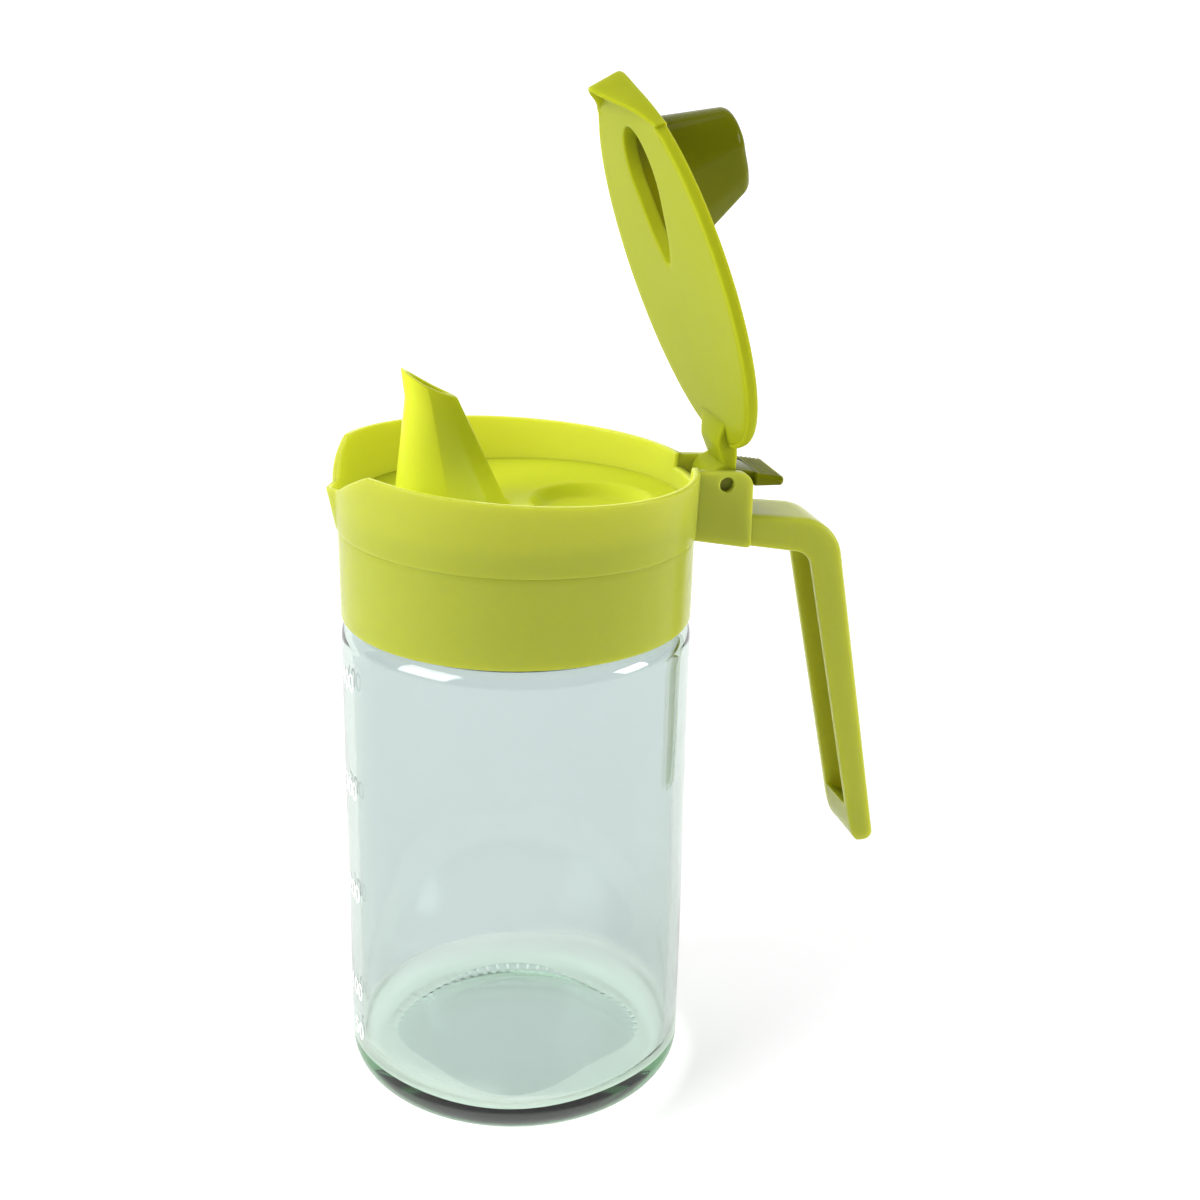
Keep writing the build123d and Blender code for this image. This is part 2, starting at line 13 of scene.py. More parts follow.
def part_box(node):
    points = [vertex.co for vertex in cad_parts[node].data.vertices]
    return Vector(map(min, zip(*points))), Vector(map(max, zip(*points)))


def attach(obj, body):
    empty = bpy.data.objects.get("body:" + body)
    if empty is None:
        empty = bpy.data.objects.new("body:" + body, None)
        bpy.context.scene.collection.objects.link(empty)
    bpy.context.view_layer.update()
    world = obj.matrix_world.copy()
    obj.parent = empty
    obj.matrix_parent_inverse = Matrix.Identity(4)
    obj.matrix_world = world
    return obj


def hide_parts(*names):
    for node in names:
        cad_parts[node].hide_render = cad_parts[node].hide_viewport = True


bl_info = {
    "name": "Oil dispenser bottle",
    "version": (1, 0, 0),
    "blender": (4, 5, 0),
    "location": "3D View > Sidebar > Oil bottle",
    "description": "Glass oil jar with a pouring head, a drip tray insert and a hinged lid",
    "category": "Add Mesh",
}

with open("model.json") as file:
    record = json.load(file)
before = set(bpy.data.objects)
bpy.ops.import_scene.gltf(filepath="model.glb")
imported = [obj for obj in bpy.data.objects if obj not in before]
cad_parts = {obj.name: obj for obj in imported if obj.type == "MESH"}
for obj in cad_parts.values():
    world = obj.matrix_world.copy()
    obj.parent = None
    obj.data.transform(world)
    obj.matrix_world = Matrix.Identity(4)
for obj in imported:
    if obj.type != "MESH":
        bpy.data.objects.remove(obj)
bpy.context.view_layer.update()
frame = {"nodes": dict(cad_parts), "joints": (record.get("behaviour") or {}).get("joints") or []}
MM = 0.001

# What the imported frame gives: the jar's box, the hinge and how far the lid stands open
JAR_LOW, JAR_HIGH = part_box("glass_jar")
LID_JOINT = next(joint for joint in frame["joints"] if joint["name"] == "lid_hinge")
PIN_X, _, PIN_HEIGHT = LID_JOINT["pos_m"]
OPEN_ANGLE = -radians(LID_JOINT["range_deg"][0])

# Glass jar
JAR_RADIUS = JAR_HIGH.x
MOUTH_HEIGHT = JAR_HIGH.z
HEEL_RADIUS = 7.0 * MM
RING_WIDTH = 2.5 * MM
PUNT_HEIGHT = 3.0 * MM
FLOOR_HEIGHT = 7.2 * MM
FLOOR_CORNER = 4.0 * MM
FLOOR_FLAT = 26.0 * MM
FLOOR_SQUARENESS = 1.9 * MM
FLOOR_TURN = -0.2
FLOOR_SLOPE = 0.20
FLOOR_FALL = 2.2 * MM
# Weight of the milky band's painted glow on the heel
HEEL_PAINTED_GLOW = 0.14
SHOULDER_START = 104.3 * MM
SHOULDER_RADIUS = 5.0 * MM
NECK_RADIUS = 33.2 * MM
NECK_BORE = 30.6 * MM
LIP_ROUND = 0.6 * MM
THREAD_PITCH = 6.0 * MM
THREAD_TOP = MOUTH_HEIGHT - 2.6 * MM
THREAD_TURNS = 1.2
THREAD_DEPTH = 1.7 * MM
THREAD_ROOT_HALF = 1.2 * MM
THREAD_CREST_HALF = 0.6 * MM
JAR_COLUMNS = 360

# Pouring head
SKIRT_BOTTOM = 109.0 * MM
SKIRT_RADIUS_LOW = 37.65 * MM
SKIRT_RADIUS_TOP = 37.85 * MM
SKIRT_BORE = 35.7 * MM
STEP_HEIGHT = 128.2 * MM
STEP_SLOPE = -0.024
STEP_LEDGE = 0.35 * MM
RIM_HEIGHT = 142.8 * MM
RIM_SLOPE = -0.062
RIM_RADIUS = 38.8 * MM
RIM_WALL = 1.5 * MM
RIM_ROUND = 0.45 * MM
DECK_HEIGHT = 133.0 * MM
DECK_THICKNESS = 1.6 * MM
DECK_RADIUS = 36.3 * MM
SEAT_TOP = DECK_HEIGHT - DECK_THICKNESS
SEAT_LEDGE_BORE = 33.6 * MM
SEAT_LEDGE_LOW = 129.4 * MM
HEAD_THREAD_TOP = 117.65 * MM
HEAD_THREAD_DEPTH = 1.6 * MM
BEAK_CHORD = 33.7 * MM
BEAK_LOW_HEIGHT = 128.6 * MM
BEAK_TOP_HEIGHT = 146.0 * MM
BEAK_LOW_REACH = 38.2 * MM
BEAK_LEAN = 2.0 / 9.7
BEAK_LOW_HALF = 4.0 * MM
BEAK_TOP_HALF = 13.5 * MM
BEAK_EDGE = 0.03
NOTCH_FLOOR = 138.3 * MM
NOTCH_KNEE = 138.9 * MM
NOTCH_FLOOR_HALF = 5.0 * MM
NOTCH_SLOPE = 7.1 / 15.5
SADDLE_HALF = 6.5 * MM
SADDLE_FLOOR = 137.34 * MM
HEAD_COLUMNS = 480
# Strength of the painted glow on the head wall's inner side
INNER_PAINTED_GLOW = 0.32

# Ears and handle
EAR_INNER = 6.5 * MM
EAR_OUTER = 9.0 * MM
EAR_END = 49.8 * MM
EAR_CORNER = 3.4 * MM
PIN_HOLE = 1.6 * MM
ARM_TOP = 131.0 * MM
ARM_START = 36.6 * MM
WALL_AT_ARM = 38.315 * MM
ARM_TOP_FALL = 0.12
ARM_HEIGHT = 6.2 * MM
ARM_BOTTOM_FALL = 0.18
KNEE_X = 70.1 * MM
KNEE_OUTER = 10.5 * MM
KNEE_INNER = 5.0 * MM
KNEE_DEPTH = 7.4 * MM
GRIP_LEAN = 0.176
GRIP_DEPTH_TOP = 6.4 * MM
GRIP_DEPTH_TIP = 5.7 * MM
GRIP_TIP_FLAT = 3.6 * MM
GRIP_TIP_BEVEL = 4.5 * MM
GRIP_END = 48.4 * MM
HANDLE_HALF = 8.0 * MM
HANDLE_WALL = 2.1 * MM
HANDLE_WEB = 2.4 * MM

# Insert: spout and bowl
SPOUT_FOOT = (-26.3 * MM, -2.2 * MM, 10.4 * MM)
SPOUT_NECK = (-23.5 * MM, -12.7 * MM, 4.7 * MM)
SPOUT_LIP = (-24.4 * MM, -15.7 * MM, 3.8 * MM)
SPOUT_NECK_HEIGHT = 156.4 * MM
LIP_HEIGHT = 162.9 * MM
LIP_TOP_HEIGHT = 163.8 * MM
SPOUT_WALL = 1.3 * MM
TAIL_INSET = 1.3
BOWL_X = 16.0 * MM
BOWL_RADIUS = 13.2 * MM
BOWL_SLOPE_RUN = 3.0 * MM
BOWL_DEPTH = 2.6 * MM
DRAIN_RADIUS = 1.5 * MM
SEAL_SKIRT = (31.2 * MM, 33.2 * MM, 125.0 * MM)

# Teardrop shared by the spout and its cover
DROP_WIDEST = 0.44
DROP_CREASE = 0.80
DROP_CREASE_WIDTH = 0.62
DROP_TAIL_WIDTH = 0.16

# Lid, in its own plane: along it from the jar's axis, across it, and up from its underside
LID_BASE = 143.05 * MM
LID_RADIUS = 39.4 * MM
LID_CENTRE = -1.4 * MM
LID_PLATE = 1.7 * MM
LID_TIP = -42.98 * MM
LID_TIP_SIDE = (-33.39 * MM, 23.0 * MM)
BEAD_HEIGHT = 2.5 * MM
BEAD_WIDTH = 2.4 * MM
FLAP_THICKNESS = 1.4 * MM
FLAP_DROP = 5.8 * MM
FLAP_FALL = 0.274
FLAP_LEAN = 0.19
COVER_FOOT = (-33.40 * MM, -1.51 * MM, 11.15 * MM)
COVER_HEAD = (-29.3 * MM, -12.3 * MM, 6.0 * MM)
COVER_HEIGHT = 21.24 * MM
COVER_WALL = 1.4 * MM
COVER_TOP_ROUND = 1.8 * MM
COVER_CREASE = 0.45 * MM
COVER_FILLET = 1.0 * MM
COVER_FOOT_HEIGHT = LID_PLATE + COVER_FILLET
NECK_FLARE = 2.0 * MM
NECK_HALF = 6.2 * MM
KNUCKLE_RADIUS = 3.4 * MM
LEVER_START = 6.8 * MM
LEVER_REACH = 13.0 * MM
LEVER_HALF = 8.0 * MM
LEVER_ROOT = 2.9 * MM
LEVER_TIP = 2.1 * MM
LEVER_TOP = 3.1 * MM
LEVER_RISE = radians(58.0)


# ---------------------------------------------------------------- sizes and colours a user may change


class OilBottleGlass(PropertyGroup):
    """The jar's glass and the scale printed on it."""

    wall: FloatProperty(
        name="Wall", description="Thickness of the side", default=2.4 * MM, unit="LENGTH"
    )
    dash_count: IntProperty(
        name="Foot dashes", description="Moulded dashes round the bearing ring", default=72, min=12
    )
    dash_depth: FloatProperty(
        name="Dash depth", description="Depth of the foot's dashes", default=0.35 * MM, unit="LENGTH"
    )
    waviness: FloatProperty(
        name="Waviness",
        description="How far the side wanders from a true cylinder",
        default=0.05 * MM,
        unit="LENGTH",
    )
    tint: FloatVectorProperty(
        name="Tint", description="Colour of the glass", default=(0.75, 0.78, 0.80), subtype="COLOR"
    )
    print_height: FloatProperty(
        name="Digit height", description="Height of the printed digits", default=4.2 * MM, unit="LENGTH"
    )
    print_angle: FloatProperty(
        name="Scale place",
        description="Angle round the jar of the right-hand end of the printed numbers",
        default=radians(-165.8),
        subtype="ANGLE",
    )
    print_colour: FloatVectorProperty(
        name="Print", description="Colour of the printed scale", default=(1.0, 1.0, 1.0), subtype="COLOR"
    )


class OilBottlePlastic(PropertyGroup):
    """Colours and finish of the moulded lime plastic."""

    head_colour: FloatVectorProperty(
        name="Head", description="Colour of the head and handle", default=(0.37, 0.405, 0.048), subtype="COLOR"
    )
    insert_colour: FloatVectorProperty(
        name="Insert", description="Colour of the insert and spout", default=(0.66, 0.72, 0.04), subtype="COLOR"
    )
    lid_colour: FloatVectorProperty(
        name="Lid", description="Colour of the lid", default=(0.29, 0.325, 0.012), subtype="COLOR"
    )
    # Painted shade: the lid's plastic made darker for the spout cover and thumb lever, which lie in the lid plate's
    # shadow
    cover_shaded_colour: FloatVectorProperty(
        name="Cover", description="Colour of the spout cover and thumb lever", default=(0.115, 0.127, 0.002), subtype="COLOR"
    )
    # Painted shade: the pin's plastic made darker for the shade in the ear's hole where it sits
    pin_shaded_colour: FloatVectorProperty(
        name="Pin", description="Colour of the hinge pin", default=(0.22, 0.24, 0.03), subtype="COLOR"
    )
    seal_colour: FloatVectorProperty(
        name="Seal", description="Colour of the soft seal", default=(0.80, 0.80, 0.76), subtype="COLOR"
    )
    gloss: FloatProperty(
        name="Roughness", description="Mean roughness of the plastic", default=0.22, subtype="FACTOR"
    )


class OilBottleStage(PropertyGroup):
    """Floor, lights and camera."""

    floor_colour: FloatVectorProperty(
        name="Floor", description="Colour of the floor and backdrop", default=(0.62, 0.62, 0.62), subtype="COLOR"
    )
    key_power: FloatProperty(
        name="Key light", description="Power of the soft light at the left", default=19.0, unit="POWER"
    )
    fill_power: FloatProperty(
        name="Fill light", description="Power of the soft light at the right", default=11.0, unit="POWER"
    )
    top_power: FloatProperty(
        name="Top light", description="Power of the soft light overhead", default=5.0, unit="POWER"
    )
    lens: FloatProperty(
        name="Lens", description="Focal length on a 36 mm frame", default=54.0, subtype="DISTANCE_CAMERA"
    )


# ---------------------------------------------------------------- numbers and curves


def smooth_step(value, low, high):
    """3t^2 - 2t^3, where t is the share of the way from low to high, kept between 0 and 1."""
    share = np.clip((value - low) / (high - low), 0.0, 1.0)
    return share * share * (3.0 - 2.0 * share)


def soft_max(first, second, width):
    """The larger of two, (a + b + sqrt((a - b)^2 + w^2)) / 2, rounded over about w where they cross."""
    return 0.5 * (first + second + np.sqrt((first - second) ** 2 + width**2))


def soft_min(first, second, width):
    """The smaller of two, rounded over about w where they cross."""
    return -soft_max(-first, -second, width)


def run(start, end, count):
    """start + (end - start) i / count for i from 0 up to, but without, count."""
    start, end = np.asarray(start, float), np.asarray(end, float)
    return start + (end - start) * np.arange(count)[:, None] / count


def bend(centre, radius, first, last, count):
    """centre + radius (cos a, sin a), for a from the first angle up to, but without, the last."""
    angle = np.radians(first + (last - first) * np.arange(count) / count)
    return np.asarray(centre) + radius * np.stack([np.cos(angle), np.sin(angle)], axis=1)


def corner_bend(before, corner, after, radius, count):
    """Points of the arc of a radius that touches both legs of a corner, its ends included."""
    before, corner, after = (np.asarray(point, float) for point in (before, corner, after))
    back = (before - corner) / np.linalg.norm(before - corner)
    ahead = (after - corner) / np.linalg.norm(after - corner)
    half = 0.5 * np.arccos(np.clip(back @ ahead, -1.0, 1.0))
    middle = (back + ahead) / np.linalg.norm(back + ahead)
    centre = corner + middle * radius / sin(half)
    from_angle = np.arctan2(*(corner + back * radius / np.tan(half) - centre)[::-1])
    to_angle = np.arctan2(*(corner + ahead * radius / np.tan(half) - centre)[::-1])
    turn = (to_angle - from_angle + pi) % (2 * pi) - pi
    angle = from_angle + turn * np.linspace(0.0, 1.0, count)
    return centre + radius * np.stack([np.cos(angle), np.sin(angle)], axis=1)


def eased(start, corner, end, count):
    """(1 - s)^2 start + 2 s (1 - s) corner + s^2 end, for s from 0 to 1."""
    share = np.linspace(0.0, 1.0, count)[:, None]
    start, corner, end = (np.asarray(point, float) for point in (start, corner, end))
    return (1 - share) ** 2 * start + 2 * share * (1 - share) * corner + share**2 * end


def even_points(path, count):
    """Points at equal steps along a line of points, its ends included."""
    along = np.concatenate([[0.0], np.cumsum(np.linalg.norm(np.diff(path, axis=0), axis=1))])
    steps = np.linspace(0.0, along[-1], count)
    return np.stack([np.interp(steps, along, path[:, axis]) for axis in range(path.shape[1])], axis=1)


# ---------------------------------------------------------------- meshes


def grid_quads(rows, columns, wrap_rows):
    """Corner numbers of the four-sided faces between neighbours; columns always wrap round."""
    row = np.arange(rows if wrap_rows else rows - 1)[:, None]
    column = np.arange(columns)[None, :]
    below, after = (row + 1) % rows, (column + 1) % columns
    corners = [
        row * columns + column,
        row * columns + after,
        below * columns + after,
        below * columns + column,
    ]
    return np.stack(corners, axis=-1).reshape(-1, 4)


def pole_triangles(ring, pole, columns, first):
    """Corner numbers of the triangles that close a ring of points to one pole."""
    here = ring + np.arange(columns)
    after = ring + (np.arange(columns) + 1) % columns
    ends = np.full(columns, pole)
    order = [ends, after, here] if first else [ends, here, after]
    return np.stack(order, axis=1)


def enclosed_volume(points, quads, triangles):
    """Sum over the faces' triangles of a . (b x c) / 6, above zero when faces point outwards."""
    sides = np.concatenate([quads[:, [0, 1, 2]], quads[:, [0, 2, 3]], triangles])
    a, b, c = (points[sides[:, corner]] for corner in range(3))
    return np.einsum("ij,ij->i", a, np.cross(b, c)).sum() / 6.0


def make_piece(name, grid, poles=None, crease=40.0):
    """A closed piece from a grid of points: a ring of rings, or rings closed by two poles."""
    rows, columns, _ = grid.shape
    points = grid.reshape(-1, 3)
    quads = grid_quads(rows, columns, poles is None)
    triangles = np.zeros((0, 3), int)
    if poles is not None:
        points = np.concatenate([points, np.asarray(poles, float)])
        low = pole_triangles(0, rows * columns, columns, True)
        high = pole_triangles((rows - 1) * columns, rows * columns + 1, columns, False)
        triangles = np.concatenate([low, high])
    if enclosed_volume(points, quads, triangles) < 0:
        quads, triangles = quads[:, ::-1], triangles[:, ::-1]
    mesh = bpy.data.meshes.new(name)
    mesh.vertices.add(len(points))
    mesh.vertices.foreach_set("co", points.astype(np.float32).ravel())
    mesh.loops.add(quads.size + triangles.size)
    corners = np.concatenate([quads.ravel(), triangles.ravel()]).astype(np.int32)
    mesh.loops.foreach_set("vertex_index", corners)
    mesh.polygons.add(len(quads) + len(triangles))
    starts = np.concatenate([4 * np.arange(len(quads)), quads.size + 3 * np.arange(len(triangles))])
    mesh.polygons.foreach_set("loop_start", starts.astype(np.int32))
    mesh.update(calc_edges=True)
    mesh.shade_smooth()
    mesh.set_sharp_from_angle(angle=radians(crease))
    piece = bpy.data.objects.new(name, mesh)
    bpy.context.scene.collection.objects.link(piece)
    return piece


def end_middles(grid):
    """Middles of a grid's first and last rings, to close it with."""
    return np.stack([grid[0].mean(axis=0), grid[-1].mean(axis=0)])


def spun_piece(name, profile, columns, crease=40.0):
    """A closed ring (r cos a, r sin a, z) from a closed loop of radius and height."""
    angle = 2 * pi * np.arange(columns) / columns
    radius, height = profile[:, :1], profile[:, 1:]
    grid = np.stack([radius * np.cos(angle), radius * np.sin(angle), height + 0 * angle], axis=-1)
    return make_piece(name, grid, crease=crease)


def cut_with(piece, tool):
    """Takes the tool's solid out of a piece and deletes the tool."""
    modifier = piece.modifiers.new("cut", "BOOLEAN")
    modifier.operation, modifier.solver, modifier.object = "DIFFERENCE", "EXACT", tool
    bpy.context.view_layer.update()
    shown = piece.evaluated_get(bpy.context.evaluated_depsgraph_get())
    mesh = bpy.data.meshes.new_from_object(shown)
    piece.modifiers.clear()
    piece.data = mesh
    bpy.data.objects.remove(tool)


def dress(piece, body, slot, material, *nodes):
    """Gives a piece its finish, the body it rides on and the CAD nodes it stands for."""
    piece.data.materials.clear()
    piece.data.materials.append(material)
    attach(piece, body)
    if nodes:
        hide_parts(*nodes)
    return piece


# ---------------------------------------------------------------- finishes


def new_finish(name):
    """An empty finish with its shader, and an object-coordinate source."""
    material = bpy.data.materials.new(name)
    material.use_nodes = True
    nodes = material.node_tree.nodes
    return material, nodes["Principled BSDF"], nodes.new("ShaderNodeTexCoord").outputs["Object"]


def add_noise(material, source, scale, detail):
    """Noise on object coordinates, so many blobs to the metre."""
    noise = material.node_tree.nodes.new("ShaderNodeTexNoise")
    noise.inputs["Scale"].default_value = scale
    noise.inputs["Detail"].default_value = detail
    material.node_tree.links.new(source, noise.inputs["Vector"])
    return noise.outputs["Fac"]


def add_mix(material, factor, first, second, target):
    """Colour between two, by a factor between 0 and 1."""
    mix = material.node_tree.nodes.new("ShaderNodeMix")
    mix.data_type = "RGBA"
    mix.inputs["A"].default_value = (*first, 1.0)
    mix.inputs["B"].default_value = (*second, 1.0)
    material.node_tree.links.new(factor, mix.inputs["Factor"])
    material.node_tree.links.new(mix.outputs["Result"], target)


def add_range(material, factor, low, high, target):
    """Number between low and high, by noise between 0.3 and 0.7."""
    span = material.node_tree.nodes.new("ShaderNodeMapRange")
    span.inputs["From Min"].default_value = 0.3
    span.inputs["From Max"].default_value = 0.7
    span.inputs["To Min"].default_value = low
    span.inputs["To Max"].default_value = high
    material.node_tree.links.new(factor, span.inputs["Value"])
    material.node_tree.links.new(span.outputs["Result"], target)


def add_bump(material, height, distance, strength, target):
    """Fine relief from a height."""
    bump = material.node_tree.nodes.new("ShaderNodeBump")
    bump.inputs["Distance"].default_value = distance
    bump.inputs["Strength"].default_value = strength
    material.node_tree.links.new(height, bump.inputs["Height"])
    material.node_tree.links.new(bump.outputs["Normal"], target)


def plastic(name, colour, roughness, glow=0.85, shine=0.09):
    """Moulded plastic: cloudy colour, uneven gloss, faint grain and light that spreads inside it."""
    material, shader, place = new_finish(name)
    cloud = add_noise(material, place, 30.0, 2.0)
    lighter = [min(1.0, 1.03 * part) for part in colour]
    darker = [0.97 * part for part in colour]
    add_mix(material, cloud, darker, lighter, shader.inputs["Base Color"])
    add_range(material, add_noise(material, place, 40.0, 1.0), 0.95 * roughness, 1.05 * roughness, shader.inputs["Roughness"])
    add_bump(material, add_noise(material, place, 60.0, 0.0), 0.00010, 0.10, shader.inputs["Normal"])
    shader.inputs["IOR"].default_value = 1.49
    shader.inputs["Specular IOR Level"].default_value = shine
    shader.inputs["Subsurface Weight"].default_value = glow
    shader.inputs["Subsurface Radius"].default_value = (1.0, 0.9, 0.25)
    shader.inputs["Subsurface Scale"].default_value = 7.0 * MM
    return material


def add_painted_glow(material, attribute, colour, strength):
    """Painted glow standing in for light that comes through a thin lit wall: emission of strength times the piece's
    attribute.
    """
    shader = material.node_tree.nodes["Principled BSDF"]
    where = material.node_tree.nodes.new("ShaderNodeAttribute")
    where.attribute_name = attribute
    span = material.node_tree.nodes.new("ShaderNodeMapRange")
    span.inputs["To Max"].default_value = strength
    shader.inputs["Emission Color"].default_value = (*colour, 1.0)
    material.node_tree.links.new(where.outputs["Fac"], span.inputs["Value"])
    material.node_tree.links.new(span.outputs["Result"], shader.inputs["Emission Strength"])


def clear_glass(tint):
    """Soda glass: faint tint, faint unevenness of colour and surface, and a milky band with a painted glow."""
    material, shader, place = new_finish("clear_soda_glass")
    paler = [min(1.0, 1.02 * part) for part in tint]
    add_mix(material, add_noise(material, place, 25.0, 2.0), tint, paler, shader.inputs["Base Color"])
    add_bump(material, add_noise(material, place, 45.0, 1.0), 0.0004, 0.12, shader.inputs["Normal"])
    painted_glow_weight = material.node_tree.nodes.new("ShaderNodeAttribute")
    painted_glow_weight.attribute_name = "pale_band"
    # The band is rougher and less clear, and it glows: painted light standing in for the light that the base's corner
    # gathers
    for socket, clear, milky in (("Roughness", 0.0, 0.4), ("Transmission Weight", 1.0, 0.75), ("Emission Strength", 0.0, 0.29)):
        span = material.node_tree.nodes.new("ShaderNodeMapRange")
        span.inputs["To Min"].default_value = clear
        span.inputs["To Max"].default_value = milky
        material.node_tree.links.new(painted_glow_weight.outputs["Fac"], span.inputs["Value"])
        material.node_tree.links.new(span.outputs["Result"], shader.inputs[socket])
    shader.inputs["Emission Color"].default_value = (0.94, 1.0, 0.86, 1.0)
    shader.inputs["IOR"].default_value = 1.5
    depth = material.node_tree.nodes.new("ShaderNodeVolumeAbsorption")
    depth.inputs["Color"].default_value = (0.12, 0.55, 0.20, 1.0)
    depth.inputs["Density"].default_value = 40.0
    output = material.node_tree.nodes["Material Output"]
    material.node_tree.links.new(depth.outputs["Volume"], output.inputs["Volume"])
    return material


def screen_ink(colour):
    """White ink with a dry, slightly broken surface, and a faint painted glow that keeps it bright in shade."""
    material, shader, place = new_finish("screen_print_ink")
    worn = [0.92 * part for part in colour]
    add_mix(material, add_noise(material, place, 900.0, 3.0), worn, colour, shader.inputs["Base Color"])
    add_bump(material, add_noise(material, place, 3000.0, 2.0), 0.00003, 0.2, shader.inputs["Normal"])
    shader.inputs["Roughness"].default_value = 0.55
    # Painted glow: the ink gives off a little light, so it stays white where it lies in shade
    shader.inputs["Emission Color"].default_value = (1.0, 1.0, 1.0, 1.0)
    shader.inputs["Emission Strength"].default_value = 0.12
    return material


def backdrop_paper(colour):
    """Matt pale paper with a hardly visible grain, glowing more towards the back, with a painted pool of light under
    the jar that fills its shadow.
    """
    material, shader, place = new_finish("backdrop_paper")
    darker = [0.985 * part for part in colour]
    add_mix(material, add_noise(material, place, 6.0, 2.0), darker, colour, shader.inputs["Base Color"])
    shader.inputs["Roughness"].default_value = 0.9
    shader.inputs["Specular IOR Level"].default_value = 0.1
    shader.inputs["Emission Color"].default_value = (1.0, 1.0, 1.0, 1.0)
    split = material.node_tree.nodes.new("ShaderNodeSeparateXYZ")
    glow = material.node_tree.nodes.new("ShaderNodeMapRange")
    for name, value in (("From Min", 0.1), ("From Max", 1.6), ("To Min", 0.44), ("To Max", 0.80)):
        glow.inputs[name].default_value = value
    material.node_tree.links.new(place, split.inputs[0])
    material.node_tree.links.new(split.outputs["Y"], glow.inputs["Value"])
    away = material.node_tree.nodes.new("ShaderNodeVectorMath")
    away.operation = "LENGTH"
    # Painted pool of light: more glow within a few centimetres of the jar's axis, filling the shadow under the glass
    painted_light_pool = material.node_tree.nodes.new("ShaderNodeMapRange")
    for name, value in (("From Min", 0.034), ("From Max", 0.043), ("To Min", 0.45), ("To Max", 0.0)):
        painted_light_pool.inputs[name].default_value = value
    total = material.node_tree.nodes.new("ShaderNodeMath")
    material.node_tree.links.new(place, away.inputs[0])
    material.node_tree.links.new(away.outputs["Value"], painted_light_pool.inputs["Value"])
    material.node_tree.links.new(glow.outputs["Result"], total.inputs[0])
    material.node_tree.links.new(painted_light_pool.outputs["Result"], total.inputs[1])
    material.node_tree.links.new(total.outputs["Value"], shader.inputs["Emission Strength"])
    return material


# ---------------------------------------------------------------- glass jar


def thread_relief(angle, height, top, turns, depth):
    """Height of a ridge that winds up one pitch each turn: a trapezium across, with tapered ends."""
    relief = np.zeros(np.broadcast(angle, height).shape)
    low = top - THREAD_PITCH * turns
    for turn in range(int(turns) + 1):
        wound = (angle % (2 * pi)) / (2 * pi) + turn
        away = np.abs(height - low - THREAD_PITCH * wound)
        ridge = np.clip((THREAD_ROOT_HALF - away) / (THREAD_ROOT_HALF - THREAD_CREST_HALF), 0.0, 1.0)
        ends = smooth_step(wound, 0.0, 0.06) * (1.0 - smooth_step(wound, turns - 0.06, turns))
        relief = np.maximum(relief, depth * ridge * ends)
    return relief


def jar_profile(wall):
    """Half section of the jar from the punt's centre over the mouth to the floor's centre."""
    ring_outer = JAR_RADIUS - HEEL_RADIUS
    ring_inner = ring_outer - RING_WIDTH
    inner = JAR_RADIUS - wall
    shoulder_x = JAR_RADIUS - SHOULDER_RADIUS
    ceiling = SHOULDER_START + SHOULDER_RADIUS - wall
    corner_x = inner - FLOOR_CORNER
    punt_radius = np.linspace(0.01, 1.0, 26)[:-1] * ring_inner
    punt = np.stack([punt_radius, PUNT_HEIGHT * (1.0 - (punt_radius / ring_inner) ** 2)], axis=1)
    neck_angle = np.degrees(np.arccos((NECK_RADIUS - shoulder_x) / SHOULDER_RADIUS))
    neck_low = SHOULDER_START + SHOULDER_RADIUS * sin(radians(neck_angle))
    return np.concatenate(
        [
            punt,
            run((ring_inner, 0), (ring_outer, 0), 6),
            bend((ring_outer, HEEL_RADIUS), HEEL_RADIUS, -90, 0, 16),
            run((JAR_RADIUS, HEEL_RADIUS), (JAR_RADIUS, SHOULDER_START), 30),
            bend((shoulder_x, SHOULDER_START), SHOULDER_RADIUS, 0, neck_angle, 10),
            run((NECK_RADIUS, neck_low), (NECK_RADIUS, MOUTH_HEIGHT - LIP_ROUND), 40),
            bend((NECK_RADIUS - LIP_ROUND, MOUTH_HEIGHT - LIP_ROUND), LIP_ROUND, 0, 90, 5),
            bend((NECK_BORE + LIP_ROUND, MOUTH_HEIGHT - LIP_ROUND), LIP_ROUND, 90, 180, 5),
            run((NECK_BORE, MOUTH_HEIGHT - LIP_ROUND), (NECK_BORE, ceiling), 8),
            run((NECK_BORE, ceiling), (shoulder_x, ceiling), 2),
            bend((shoulder_x, SHOULDER_START), SHOULDER_RADIUS - wall, 90, 0, 7),
            run((inner, SHOULDER_START), (inner, FLOOR_HEIGHT + FLOOR_CORNER), 30),
            bend((corner_x, FLOOR_HEIGHT + FLOOR_CORNER), FLOOR_CORNER, 0, -90, 12),
            run((corner_x, FLOOR_HEIGHT), (0.62 * corner_x, FLOOR_HEIGHT), 42),
            run((0.62 * corner_x, FLOOR_HEIGHT), (0.01 * corner_x, FLOOR_HEIGHT), 8),
        ]
    )


